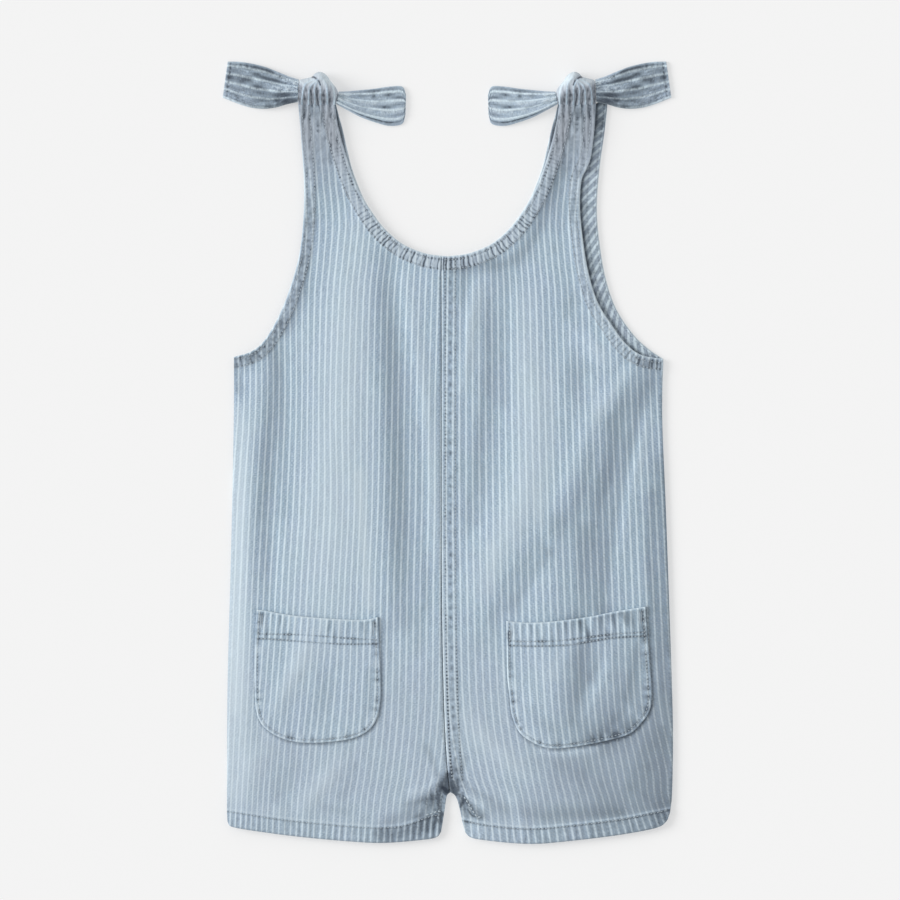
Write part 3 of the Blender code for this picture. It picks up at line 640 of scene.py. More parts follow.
def strokes(points, table, ends=1.0):
    """Sum of the soft strokes of a table at each point, with the share left at their ends."""
    total = np.zeros(len(points))
    for *places, start_width, end_width, amount in table:
        line = smooth(np.reshape(places, (3, 2)), STROKE_STEP)
        length = length_of(line)
        along, off = near(points, line)
        width = start_width + (end_width - start_width) * along / length
        to_end = np.minimum(along, length - along) / (0.3 * length)
        total += amount * bump(off / width) * (ends + (1 - ends) * ease(to_end))
    return total


def stripe_number(points, table):
    """Which stripe each point lies on, with its share of the way to the next one."""
    rows = smooth(table, COARSE_SHAPE)[::-1]
    places = np.stack([np.interp(points[:, 1], rows[:, 0], x) for x in rows.T[1:]], axis=1)
    towards = np.sign(table[0][2] - table[0][1])
    places, x = places * towards, points[:, 0] * towards
    step = np.clip((places[:, 1:-1] < x[:, None]).sum(axis=1), 0, places.shape[1] - 2)
    each = np.arange(len(points))
    start, end = places[each, step], places[each, step + 1]
    return STRIPE_STEP * (step + (x - start) / (end - start))


# ---------------------------------------------------------------- nets and shells


def thinned(points, cell):
    """The points without those that share a small square with an earlier one."""
    _, first = np.unique(np.round(points / cell).astype(int), axis=0, return_index=True)
    return points[np.sort(first)]


def apart_from(points, others, gap):
    """The points that lie further than a gap from every one of the others."""
    tree = kdtree.KDTree(len(others))
    for i, other in enumerate(others):
        tree.insert((*other, 0.0), i)
    tree.balance()
    return points[[tree.find((*point, 0.0))[2] > gap for point in points]]


def net(outline, grid, loose=()):
    """Triangles that fill an outline, through loose points and an even grid between them."""
    low, high = outline.min(axis=0), outline.max(axis=0)
    rows = np.arange(low[1], high[1], grid * ROW_SHARE)
    columns = np.arange(low[0], high[0], grid)
    even = [(x + grid / 2 * (i % 2), y) for i, y in enumerate(rows) for x in columns]
    if len(loose):
        loose = apart_from(thinned(loose, FINE / 2), outline, FINE / 3)
    drawn = np.vstack([outline, loose]) if len(loose) else outline
    even = apart_from(np.array(even), drawn, 0.6 * grid)
    points = [Vector(point) for point in np.vstack([drawn, even])]
    inside_only, same_point = 1, 0.02
    made = delaunay_2d_cdt(points, [], [list(range(len(outline)))], inside_only, same_point)
    points, faces = np.array(made[0]), np.array(made[2])
    used, faces = np.unique(faces, return_inverse=True)
    faces = faces.reshape(-1, 3)
    points = points[used]
    a, b, c = (points[faces[:, i]] for i in range(3))
    turn = (b[:, 0] - a[:, 0]) * (c[:, 1] - a[:, 1]) - (b[:, 1] - a[:, 1]) * (c[:, 0] - a[:, 0])
    faces[turn < 0] = faces[turn < 0][:, ::-1]
    return points, faces


def rim(faces):
    """The edges with a face on one side only, as they run round that face."""
    edges = np.vstack([faces[:, [0, 1]], faces[:, [1, 2]], faces[:, [2, 0]]])
    _, first, count = np.unique(
        np.sort(edges, axis=1), axis=0, return_index=True, return_counts=True
    )
    return edges[first[count == 1]]


# What a piece is like at each of its points: the heights of its underside and its top, its
# stripe number, how much paler or darker it is, painted light and shade included, how much
# clearer or fainter its stripes are, and the share of its dye's change and painted light and
# shade that a pocket on it has too
Surface = namedtuple("Surface", "lower upper stripe shade line wear", defaults=(0.0, 0.0))


def riding(name, mesh, material):
    """An object of a mesh in its material, riding on the part's body."""
    mesh.materials.append(material)
    thing = bpy.data.objects.new(name, mesh)
    bpy.context.scene.collection.objects.link(thing)
    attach(thing, "root")
    return thing


def mesh_object(name, vertices, faces, fabric, shade, line, cloth, smooth_faces=None):
    """A piece of cloth with its cloth coordinates, its dye values with painted light and shade, and
    its walls' faces left flat.
    """
    mesh = bpy.data.meshes.new(name)
    mesh.from_pydata((vertices * MM).tolist(), [], faces)
    corners = np.empty(len(mesh.loops), int)
    mesh.loops.foreach_get("vertex_index", corners)
    mesh.uv_layers.new(name="fabric").uv.foreach_set("vector", fabric[corners].ravel())
    for word, values in (("shade", shade), ("line", line)):
        mesh.attributes.new(word, "FLOAT", "POINT").data.foreach_set("value", values)
    rounded = np.arange(len(faces)) < (smooth_faces or len(faces))
    mesh.polygons.foreach_set("use_smooth", rounded)
    return riding(name, mesh, cloth)


def stand_for(thing, node):
    """Hides the part that the piece's node names, and gives back the piece."""
    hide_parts(node)
    return thing


def shell(node, woven, surface, cloth):
    """A piece of cloth on a net, as a closed thin shell that stands for its node."""
    points, faces = woven
    count = len(points)
    heights = (surface.upper, surface.lower)
    vertices = np.vstack([np.column_stack([points - MIDDLE, height]) for height in heights])
    start, end = rim(faces).T
    wall = np.column_stack([start, start + count, end + count, end])
    every = faces.tolist() + (faces[:, ::-1] + count).tolist() + wall.tolist()
    looks = (surface.stripe, surface.shade, surface.line)
    stripe, shade, line = (np.tile(np.broadcast_to(v, count), 2) for v in looks)
    fabric = np.column_stack([stripe, np.tile(points[:, 1], 2)])
    name = node + "_cloth"
    thing = mesh_object(name, vertices, every, fabric, shade, line, cloth, 2 * len(faces))
    return stand_for(thing, node)


# ---------------------------------------------------------------- bands and panels

# A turned edge: the panel lies on its curve's left. Rows are its stitching, each with its place
# and how dark the painted shade in its needle holes is, bars its crosswise puckers, darkened
# with painted shade and weak above a height, mottle its dark blots, groove the softer puckers
# between its pale stripes with their painted shade, tone its own dye, rim its pale or dark
# folded edge, ridge the painted highlight past its stitching, and line the change of its stripes
BandLook = namedtuple(
    "BandLook",
    "width rows bar_pitch bar_shade calm_above mottle groove tone rim rim_shade raised"
    " line ridge deepening widening spacing",
    defaults=(0.0, 0.0, 0.0, 0.0, FINE),
)
NO_CALM = 400  # a height above the garment
NECK_LOOK = BandLook(
    NECK_BAND, ((2.2, 2.5), (8.3, 2.1)), 2.6, 1.8, 142, 0.16, 0.14, 0.24, 0.8, 0.60, TURNED_EDGE,
    line=-0.34, spacing=0.45,
)
ARMHOLE_LOOKS = {
    LEFT: BandLook(
        ARMHOLE_BAND, ((2.0, 0.5), (6.9, 1.5)), 2.9, 0.50, 60, 0.32, 0.06, 0.0, 0.9, 0.60, 0.6,
        line=-0.22,
    ),
    RIGHT: BandLook(
        ARMHOLE_BAND, ((2.8, 0.6), (6.9, 1.0)), 2.6, 1.1, 70, 0.22, 0.05, 0.06, 1.2, 0.95, 0.6,
        line=-0.22,
    ),
}
HEM_LOOKS = {
    LEFT: BandLook(
        LEG_HEM, ((9.7, 0.5),), 3.4, 0.26, NO_CALM, 0.12, 0.13, -0.05, 0.9, -0.30, TURNED_EDGE,
        line=0.06, ridge=0.30, widening=0.45,
    ),
    RIGHT: BandLook(
        LEG_HEM, ((9.7, 1.0),), 3.4, 0.22, NO_CALM, 0.12, 0.10, -0.02, 0.9, -0.20, TURNED_EDGE,
        line=0.06, ridge=0.38,
    ),
}
SEAM_LOOK = BandLook(
    CENTRE_BAND, ((2.5, 1.9), (9.1, 1.0)), 4.2, 0.12, NO_CALM, 0.16, 0.0, -0.05, 1.2, 0.75, 0.25,
    deepening=1.5,
)
SIDES = {
    LEFT: (LEFT_SIDE, LEFT_HEM, LEFT_INSEAM, LEFT_STRIPES),
    RIGHT: (RIGHT_SIDE, RIGHT_HEM, RIGHT_INSEAM, RIGHT_STRIPES),
}
Band = namedtuple("Band", "curve look seed")
Relief = namedtuple("Relief", "raised height shade inward line")
Panel = namedtuple("Panel", "name side outline bands stripes")


def hem_line(rows):
    """The line of a leg hem without its rounded corners, running on past both ends."""
    run_in, run_out = 14, 10
    line = np.array(rows[2:-1])
    before, after = line[0] - line[1], line[-1] - line[-2]
    first = line[0] + run_in * before / np.linalg.norm(before)
    last = line[-1] + run_out * after / np.linalg.norm(after)
    return smooth(np.vstack([first, line, last]), SHAPE)


def row_line(band, offset):
    """The line of a band's row of stitches, further in where the band widens."""
    widened = 1 + widening(band.curve, band.look)[:, None]
    return beside(band.curve, offset * widened)


def widening(points, look):
    """How much wider a band is at each point, as a share: a hem may widen at its inner end."""
    start, over = -34, 28
    return look.widening * ease((points[:, 0] - start) / over)


def half(name, side, armhole, neck, centre, gap, top=()):
    """A half of the front or the back: its outline, turned edges and stripes.

    Its centre edge is moved sideways by a gap, and a right half has the felled seam.
    """
    flank, hem, inseam, stripes = SIDES[side]
    down = [smooth(rows, FINE)[:-1] for rows in (armhole, flank, hem, inseam)]
    middle, scoop = beside(smooth(centre, FINE), gap)[::-1], smooth(neck, FINE)[::-1]

    # Neck and centre meet in one point, which a front takes from its neck
    if name.startswith("front"):
        middle = middle[:-1]
    else:
        scoop = scoop[1:]
    outline = filled(np.vstack([*down, middle, scoop, *top]), FINE)
    bands = [
        Band(smooth(neck, SHAPE)[::side], NECK_LOOK, 1),
        Band(smooth(armhole, SHAPE)[::-side], ARMHOLE_LOOKS[side], 2),
        Band(hem_line(hem)[::-side], HEM_LOOKS[side], 3),
    ]
    if side == RIGHT:
        bands.append(Band(smooth(centre, SHAPE), SEAM_LOOK, 4))
    return Panel(name, side, outline, bands, stripes)


def fronts():
    """The two fronts, of which the right one laps over the left."""
    right_neck = [*mirrored(FRONT_NECK), FRONT_CENTRE[0]]
    return (
        half("front_left", LEFT, LEFT_ARMHOLE, FRONT_NECK, FRONT_CENTRE, -SEAM_GAP),
        half("front_right", RIGHT, FRONT_RIGHT_ARMHOLE, right_neck, FRONT_CENTRE, 0),
    )


def backs():
    """The two back halves, the left one's armhole kept under the front's."""
    lowest = LEFT_ARMHOLE[-1][1]
    hidden = [(x + HIDDEN_INSET * ease((y - lowest) / 60), y) for x, y in LEFT_ARMHOLE]
    right_neck = mirrored(BACK_NECK)
    gap = SEAM_GAP / 2
    return (
        half("back_left", LEFT, hidden, BACK_NECK, BACK_CENTRE, -gap),
        half("back_right", RIGHT, BACK_RIGHT_ARMHOLE, right_neck, BACK_CENTRE, gap, STRAP_CORNER),
    )


def band_points(band):
    """Loose points in rows along a band, close together where it is stitched and ends."""
    curve = smooth(np.vstack([band.curve[:-1:4], band.curve[-1:]]), band.look.spacing)
    widest = band.look.width * (1 + band.look.widening)
    offsets = [*ACROSS_EDGE, *np.arange(1.8, widest + 2.4, ACROSS_BAND)]
    return np.vstack([beside(curve, offset) for offset in offsets])


def rounded_edge(inward, radius):
    """How far a surface falls towards its edge, where the cloth turns under."""
    return radius * (1 - np.sqrt(1 - (1 - np.clip(inward / radius, 0, 1)) ** 2))


def dots(along, pitch):
    """1 where the needle went in, at an even pitch along a row."""
    return bump((np.mod(along / pitch, 1) - 0.5) / 0.24)


def bars(along, pitch, seed):
    """Thin lines across a band, at uneven distances and of uneven strength."""
    cell = np.floor(along / pitch).astype(int) % DRAWS
    moved, strength = np.random.default_rng(seed).uniform(0, 1, (2, DRAWS))
    off = np.mod(along / pitch, 1) - 0.5 - 0.5 * (moved[cell] - 0.5)
    return (0.35 + 0.65 * strength[cell]) * bump(off * pitch / 0.5)


def band_relief(points, stripe, band, sewing):
    """Raised share, height and dye of a turned edge at each point, with painted light and shade on
    its puckers, stitching and ridge.
    """
    look = band.look
    along, from_edge = near(points, band.curve)
    widened = widening(points, look)
    inward = from_edge / (1 + widened)
    groove = look.groove * (1 + 4.5 * widened)
    raised = ease((look.width + 0.6 - inward) / 1.2) * (inward > -1)

    # Puckers across the band, and the soft ones between its pale stripes
    lean = along + 0.3 * wander(inward / 3, band.seed + 40)
    calm = 1 - 0.75 * above(points, look.calm_above, 22)
    crossed = bars(lean, look.bar_pitch, band.seed) * calm
    between = ease(inward / 1.2) * ease((look.width + 0.4 - inward) / 1.2)
    crest = np.cos(2 * math.pi * stripe)
    ribs = 0.18 * wander(lean / look.bar_pitch, band.seed + 20) - 0.22 * crossed
    height = sewing.pucker * between * (ribs + 0.4 * groove * crest)

    # Its dye, with painted shade in its puckers and between its pale stripes, and the cloth that
    # its stitching drags
    places = np.column_stack([along, inward])
    mottle = np.zeros(len(points))
    mottle[raised > 0] = uneven(places[raised > 0], 2.6, 1.6, band.seed + 0.5)
    shade = raised * look.tone + between * look.bar_shade * (0.14 * calm - crossed)
    shade -= between * look.mottle * np.clip(2.2 * mottle, -0.4, 1)
    shade += between * groove * (crest - 0.2)
    drag = wander(along / 4.5, band.seed + 60) * bump((inward - look.width) / 9)
    height += 0.12 * sewing.pucker * drag * (inward > look.width)

    # Its rows of stitches, with painted shade in the dimples where the needle went in
    for row, darkness in look.rows:
        uneven_row = 0.75 + 0.45 * wander(along / 3, band.seed + 80)
        dotted = dots(along, sewing.pitch) * uneven_row
        height -= 0.22 * bump((inward - row) / 0.7) * (0.5 + 0.5 * dotted)
        deepened = darkness * (1 + look.deepening * above(points, LEG_TOP, -90))
        deepened *= 1 - 0.8 * above(points, SEAM_STITCHES_END, -6) * (look.deepening > 0)
        shade -= bump((inward - row) / 0.5) * (0.06 + 0.75 * dotted) * deepened

    # Its folded edge, and a painted highlight on the ridge along its stitching, with painted shade
    # just inside it
    shade += look.rim_shade * bump(inward / look.rim)
    pressed = bump((inward - look.width - 0.6) / 0.9) - bump((inward - look.width + 0.9) / 0.6)
    shade += look.ridge * pressed
    return Relief(raised * look.raised, height, shade, from_edge, look.line * between)


def seam_blots(points, band):
    """Puckers that run down the middle of the felled centre seam, darkened there with painted
    shade.
    """
    along, inward = near(points, band.curve)
    turns = along / SEAM_BLOT_PITCH + 0.25 * wander(along / 12, 77)
    spots = bump((np.mod(turns, 1) - 0.5) / 0.22) * (0.6 + 0.5 * wander(turns, 78))
    return spots * bump(inward - SEAM_MIDDLE)


# The seams that a front comes down to, each with the width over which it does
ROLLED = [
    (smooth(rows, COARSE_SHAPE), roll)
    for flank, _, inseam, _ in SIDES.values()
    for rows, roll in ((flank, SIDE_ROLL), (inseam, INSEAM_ROLL))
]
OPEN_ARMHOLE = smooth(FRONT_RIGHT_ARMHOLE, COARSE_SHAPE)


def strap_rise(points):
    """0 on the garment, rising to 1 where a strap enters its knot."""
    return ease((points[:, 1] - STRAP_TOP + STRAP_RISE_LENGTH) / STRAP_RISE_LENGTH)


def front_lower(points, folds):
    """Height of the front's underside, with its folds at each point given."""
    off_seams = np.min([ease(distance(points, seam) / roll) for seam, roll in ROLLED], axis=0)
    opened = ARMHOLE_OPEN * ease(1 - distance(points, OPEN_ARMHOLE) / ARMHOLE_OPEN_WIDTH)
    wrinkles = 0.28 * uneven(points, 8.0, 30.0, 3.0) + 0.10 * uneven(points, 3.6, 11.0, 7.0)
    lift = (np.clip(REST_LIFT + folds + opened, 0, MAX_LIFT) + wrinkles) * off_seams
    rise = strap_rise(points)
    return WALL + SEAM_GAP + np.maximum(lift * (1 - rise) + STRAP_RISE * rise, 0.0)


def gathered_shading(own, ridge):
    """Painted shade between the pleats of a gathered strap and its knot, and painted light on them
    and over its top, in the left one's place.
    """
    shade = np.zeros(len(own))
    gathered = own[:, 1] > GATHER_SHADE_START
    place, ridge = own[gathered], ridge[gathered]
    strap = above(place, GATHER_SHADE_START, 45)
    over_top = above(place, 235, 4.5)
    spots = np.clip(uneven(place, 1.2, 5.0, 21.0) + 0.10, 0, 0.5)
    ground = 1.1 - ridge
    shade[gathered] = strap * (0.02 - 0.95 * spots * ground * (1 - 0.6 * over_top))
    streaked = 1 + 1.2 * uneven(place, 0.7, 2.6, 23.0)
    shade[gathered] += 0.85 * strokes(place, GATHER_SHADE_STREAKS) * (0.55 + 0.8 * ground) * streaked
    shade[gathered] += 0.40 * over_top
    return shade


def front_wear_and_shade(points, folds):
    """Dye that stains and washing have left paler or darker, with painted light and shade on its
    folds, its strokes and its right side.
    """
    wear = strokes(points, DYE_AND_SHADE_STROKES) + FOLD_WEAR_AND_SHADE * folds
    wear += RIGHT_LEG_SHADE * ease((points[:, 0] - 20) / 90) * above(points, LEG_TOP, -80)
    return wear + RIGHT_SHADE * ease((points[:, 0] - 5) / 110)


def crotch_specks_and_shade(points):
    """Dark and pale specks, thickest round the crotch, and painted shade beside its coarse
    stitches.
    """
    away = (points - CROTCH) * (1, 1.1)
    around = bump(np.hypot(*away.T) / CROTCH_REACH)
    shade = np.zeros(len(points))
    close = around > 0.02
    place = points[close]
    specks = np.clip(uneven(place, 1.1, 1.4, 51.0), -0.35, 0.6)
    specks += 0.6 * np.clip(uneven(place, 1.6, 7.0, 52.0), -0.4, 0.5)
    beside_rows = np.min([distance(place, smooth(row, 1.0)) for row in INSEAM_STITCHES], axis=0)
    dark = 0.9 * np.clip(specks, 0, 1) + 0.5 * bump(beside_rows / 1.0)
    shade[close] = -around[close] * dark - 0.5 * around[close] * np.clip(specks, -0.3, 0)
    return shade


def fading(points):
    """How much fainter the stripes are on the legs and on the straps, below 0."""
    return -0.24 * above(points, LEG_TOP, -80) - 0.55 * bump((points[:, 1] - 210) / 26)


def front_surface(points, panel, sewing):
    """The underside, top, stripes and dye of a front panel at each point, with its painted light
    and shade.
    """
    folds, creases = strokes(points, FRONT_FOLDS, FOLD_END), strokes(points, CREASES)
    rise = strap_rise(points)
    lower = np.maximum(front_lower(points, folds) + creases * (1 - rise), WALL + SEAM_GAP)
    stripe = stripe_number(points, panel.stripes)
    reliefs = [band_relief(points, stripe, band, sewing) for band in panel.bands]

    # The felled seam lies flatter and plainer under the neck's turned edge
    if panel.side == RIGHT:
        below_neck = ease((reliefs[0].inward - NECK_BAND) / 1.5)
        seam = reliefs[-1]
        calmed = seam.shade * (0.25 + 0.75 * below_neck)
        reliefs[-1] = seam._replace(shade=calmed, height=seam.height * below_neck)

    # Bands, and the gathers of the strap, with painted shade between them and in the felled seam's
    # puckers
    raised = np.max([relief.raised for relief in reliefs], axis=0)
    height = sum(relief.height for relief in reliefs) * (1 - 0.6 * rise)
    shade = sum(relief.shade for relief in reliefs) * (1 - 0.85 * above(points, 178, 32))
    crests = 0.5 + 0.5 * np.cos(2 * math.pi * (stripe + 0.1 * wander(points[:, 1] / 5, 9)))
    gathers = rise * (GATHER_STACK + STRAP_PLEAT * crests)
    shade += gathered_shading(points * (-panel.side, 1), crests)
    if panel.side == RIGHT:
        blots = seam_blots(points, panel.bands[-1]) * below_neck
        height -= 0.12 * blots
        shade -= 0.85 * blots
    to_edge = np.min([np.abs(relief.inward) for relief in reliefs], axis=0)
    upper = lower + WALL + raised * (1 - rise) + height + gathers
    upper -= rounded_edge(to_edge, TOP_ROUNDING)

    # Dye, with painted light and shade on its folds and creases, a painted shadow round the pocket,
    # and dark specks round the crotch
    wear = front_wear_and_shade(points, folds)
    shade += wear + 0.35 * creases
    off_pocket = distance(points + (-0.4, 0.4), smooth(POCKETS[panel.side].edge, SHAPE))
    shade -= 0.58 * bump((off_pocket - 0.3) / 0.8)
    shade += crotch_specks_and_shade(points)
    line = fading(points) + sum(relief.line for relief in reliefs)
    lower += rounded_edge(to_edge, UNDER_ROUNDING)
    return Surface(lower, upper, stripe, shade, line, wear)


def make_front(panel, sewing, cloth):
    """One front with its strap, its turned edges puckered by their stitching."""
    centre = 2.5
    across, down = (np.arange(*ends, CROTCH_GRID) for ends in CROTCH_BOX)
    crotch = np.stack(np.meshgrid(across, down), axis=-1).reshape(-1, 2)
    crotch = crotch[(crotch[:, 0] < centre) == (panel.side == LEFT)]
    loose = np.vstack([*(band_points(band) for band in panel.bands), crotch])
    woven = net(panel.outline, PANEL_GRID, loose)
    surface = front_surface(woven[0], panel, sewing)
    thing = shell(panel.name, woven, surface, cloth)
    return thing


# ---------------------------------------------------------------- pockets


def pocket_outline(pocket):
    """The whole outline of a pocket: its edge, then back along its mouth."""
    edge, mouth = smooth(pocket.edge, FINE), smooth(pocket.mouth, FINE)
    if pocket.edge[0] == pocket.mouth[0]:
        mouth = mouth[::-1]
    return filled(np.vstack([edge, mouth[1:-1]]), FINE)


def pocket_surface(points, panel, sewing):
    """The underside, top, stripes and dye of a pocket at each point, with its painted light and
    shade.
    """
    pocket = POCKETS[panel.side]
    under = front_surface(points, panel, sewing)
    along, from_edge = near(points, smooth(pocket.edge, SHAPE))
    across, from_mouth = near(points, smooth(pocket.mouth, SHAPE))
    from_edge, from_mouth = np.abs(from_edge), np.abs(from_mouth)
    middle = np.mean([corner[0] for corner in pocket.mouth])
    opened = ease(1 - from_mouth / 50) * ease(1 - np.abs(points[:, 0] - middle) / 36)
    lower = under.upper + SEAM_GAP + POCKET_MOUTH_LIFT * opened
    _, below_hem = near(points, smooth(pocket.rows[1], SHAPE))
    hem = ease((below_hem + 1.2) / 1.2)

    # Its own stripes, the puckers of its hem with painted shade in them, and the dye and the
    # painted light and shade of the front under it
    stripe = under.stripe + pocket_slant(points, panel)
    crest = np.cos(2 * math.pi * stripe)
    between = ease(from_mouth / 2) * ease(below_hem / 1.5)
    crossed = bars(across, 3.1, 71) * between
    columns = uneven(np.column_stack([across, from_mouth]), 3.2, 14.0, 74.5) * between
    height = sewing.pucker * between * (0.10 * crest - 0.2 * crossed)
    shade = 0.13 * between * (crest - 0.3) - 0.20 * crossed + under.wear
    shade -= 0.80 * np.clip(columns, -0.15, 0.6)

    # The rows of its hem and the row round its edge, with painted shade in their needle holes, its
    # pale folded edges, and painted light and shade on the puckers along its edge
    for seed, row in enumerate(pocket.rows):
        row_along, off = near(points, smooth(row, SHAPE))
        height -= 0.2 * bump(off / 0.6)
        faint = 0.80 + 0.5 * wander(row_along / 7, 73 + seed)
        shade -= faint * bump(off / 0.6) * (0.38 + 0.85 * dots(row_along, sewing.pitch))
    off_row = from_edge - POCKET_STITCHES
    height -= 0.3 * bump(off_row / 0.8)
    faint = 0.9 + 0.5 * wander(along / 9, 75)
    shade -= faint * bump(off_row / 0.55) * (0.28 + 0.55 * dots(along, sewing.pitch))
    shade += 0.75 * bump(from_mouth / 0.9) + 0.45 * bump(from_edge / 0.7)
    puckered = wander(along / 2.8, 72) * bump(off_row / 2.6)
    shade += 0.50 * puckered
    height += 0.14 * sewing.pucker * puckered
    to_edge = np.minimum(from_edge, from_mouth)
    upper = lower + WALL + TURNED_EDGE * hem + height - rounded_edge(to_edge, TOP_ROUNDING)
    return Surface(lower, upper, stripe, shade, 0.5 * fading(points))


def pocket_slant(points, panel):
    """How far a pocket's stripes lie from those of its panel, in stripes."""
    down = (-104 - points[:, 1]) / 80
    if panel.side == LEFT:
        return 0.4 - 0.6 * down * ease((-60 - points[:, 0]) / 30)
    return 0.35 + 0.2 * down


def inside_of(curve, outline):
    """1 if an outline's middle lies on a curve's left, otherwise -1."""
    return 1 if near(outline.mean(axis=0)[None], curve)[1][0] > 0 else -1


def make_pocket(panel, sewing, cloth):
    """A patch pocket with a turned hem at its mouth and a stitched edge."""
    pocket = POCKETS[panel.side]
    outline = pocket_outline(pocket)
    loose = []
    for rows, offsets in (
        (pocket.edge, (*ACROSS_EDGE, 1.7, 2.3, 2.9, 3.6, 4.4)),
        (pocket.mouth, (*ACROSS_EDGE[:-1], *np.arange(ACROSS_EDGE[-1], 19.6, ACROSS_BAND))),
    ):
        curve = smooth(rows, FINE)
        loose += [beside(curve, inside_of(curve, outline) * offset) for offset in offsets]
    woven = net(outline, POCKET_GRID, np.vstack(loose))
    surface = pocket_surface(woven[0], panel, sewing)
    thing = shell(panel.name.replace("front", "pocket"), woven, surface, cloth)
    return thing


# ---------------------------------------------------------------- backs and facing


def make_back(panel, sewing, cloth):
    """One back half, flat on the surface, with its strap and its stitched edges."""
    outline = panel.outline
    inner = [beside(outline[::2], offset) for offset in (-0.4, -1.0, 0.4, 1.0)]
    woven = net(outline, BACK_GRID, np.vstack([*inner, *map(band_points, panel.bands)]))
    points = woven[0]
    to_edge = distance(points, np.vstack([outline[::2], outline[:1]]))
    upper = WALL - rounded_edge(to_edge, BACK_ROUNDING)
    lower = rounded_edge(to_edge, UNDER_ROUNDING)
    stripe = stripe_number(points, panel.stripes)
    reliefs = [band_relief(points, stripe, band, sewing) for band in panel.bands]
    # Painted shadow on the strap, which lies under the front's strap, a pale edge, partly painted
    # highlight, and soft painted shade for faint creases
    strap = above(points, 180, 30)
    shade = sum(relief.shade for relief in reliefs) * (1 - 0.8 * strap) - 0.75 * strap
    shade += 0.5 * bump(to_edge / 0.7) + 0.3 * uneven(points, 9.0, 40.0, 13.0)
    surface = Surface(lower, upper, stripe, shade, sum(relief.line for relief in reliefs))
    thing = shell(panel.name, woven, surface, cloth)
    return thing


def facing_outline():
    """What the right front leaves bare of the strip along the back's armhole."""
    narrowest, inset, overlap, top = 2.0, 0.6, 1.2, ((98.5, 227.8), (98.3, 226.5))
    back_edge = beside(smooth(BACK_RIGHT_ARMHOLE, FINE), -inset)
    front_edge = np.vstack([*top, beside(smooth(FRONT_RIGHT_ARMHOLE, FINE), -overlap)])
    outer = back_edge[1:][distance(back_edge[1:], front_edge) > narrowest]
    inner = front_edge[1:][distance(front_edge[1:], back_edge) > narrowest]
    return filled(np.vstack([outer, inner[::-1]]), FINE)


def make_facing(sewing, cloth):
    """The bias strip inside the right back armhole, with slanting stripes and painted shadows."""
    outline = facing_outline()
    woven = net(outline, FACING_GRID)
    points = woven[0]
    along, off = near(points, smooth(BACK_RIGHT_ARMHOLE, SHAPE))
    inward = np.abs(off)
    stripe = (along * math.sin(BIAS_SLANT) - inward * math.cos(BIAS_SLANT)) / STRIPE_PITCH
    beside_front = distance(points, smooth(FRONT_RIGHT_ARMHOLE, SHAPE))
    # Painted shadow along the front's edge, deeper where the front lifts, and painted shadow under
    # the tie at the top
    lifted = above(points, 80, 50) * above(points, 186, -12)
    front_edge_shadow = bump((beside_front - 0.8) / 1.0) * (0.35 + 0.65 * lifted)
    shade = -0.10 - 0.45 * above(points, 190, 26) - front_edge_shadow
    height = np.zeros(len(points))
    # Rows of stitches, with painted shade in their needle holes
    for row in (2.0, 6.6):
        height -= 0.2 * bump((inward - row) / 0.6)
        shade = shade - bump((inward - row) / 0.5) * (0.1 + 0.5 * dots(along, sewing.pitch))
    # Ribs with painted light and shade on them, and a pale edge
    ribs = wander(along / 2.6, 31) * ease(inward / 1.2)
    shade = shade + 0.22 * ribs + 0.35 * bump((inward - 0.6) / 0.5)
    lower = np.full(len(points), WALL + SEAM_GAP)
    upper = lower + FACING_WALL + height + 0.12 * ribs
    surface = Surface(lower, upper, stripe, shade)
    thing = shell("armhole_facing_right", woven, surface, cloth)
    return thing


# ---------------------------------------------------------------- knots and ties


def knot_surface(points, side):
    """The underside, top and dye of a knot at each point, with painted light and shade and its pale
    pleat lines.
    """
    own = points * (-side, 1)
    climb = above(own, KNOT_BASE, KNOT_CLIMB)
    strap_edge = 0.9
    roll = strap_edge + (KNOT_ROLL - strap_edge) * climb
    inward = np.clip(distance(own, smooth(KNOT_OUTLINE, 1.0)) / roll, 0, 1)
    rounding = np.sqrt(1 - (1 - inward) ** 2)
    start = WALL + SEAM_GAP + STRAP_RISE + WALL + GATHER_STACK
    side_height = start - strap_edge
    apart = [distance(own, smooth(np.reshape(row, (4, 2)), 0.8)) for *row, _ in KNOT_PLEATS]
    ridge = bump(np.min(apart, axis=0) / 1.25)
    pale = np.max([bump(off / 0.42) * row[-1] for off, row in zip(apart, KNOT_PLEATS)], axis=0)
    grooves = strokes(own, KNOT_GROOVES)
    top = start + (KNOT_TOP_HEIGHT + KNOT_EDGE - start) * climb
    top += (strokes(own, KNOT_FOLDS) + 0.7 * grooves) * climb + STRAP_PLEAT * ridge
    lower = KNOT_SIDE_HEIGHT * (1 - rounding)
    upper = side_height + (top - side_height) * rounding
    # Painted shade in its grooves and low between its pleats, and painted light over its top
    shadowed = above(own, 223, 3) * above(own, 239, -5)
    shade = 0.10 + gathered_shading(own, ridge) + 0.45 * grooves + strokes(own, KNOT_LIGHT_AND_SHADE)
    shade += 0.5 * uneven(own, 0.8, 2.4, 25.0) - 0.20 * shadowed * (1 - pale)
    return Surface(lower, upper, 0.5, shade, 1.7 * pale - 0.85)


def make_knot(side, cloth):
    """The strap's end wrapped over the tie, its pleats fanning over the top."""
    outline = filled(smooth(KNOT_OUTLINE, KNOT_GRID) * (-side, 1), KNOT_GRID)
    woven = net(outline, KNOT_GRID)
    word = "left" if side == LEFT else "right"
    thing = shell(f"knot_{word}", woven, knot_surface(woven[0], side), cloth)
    return thing


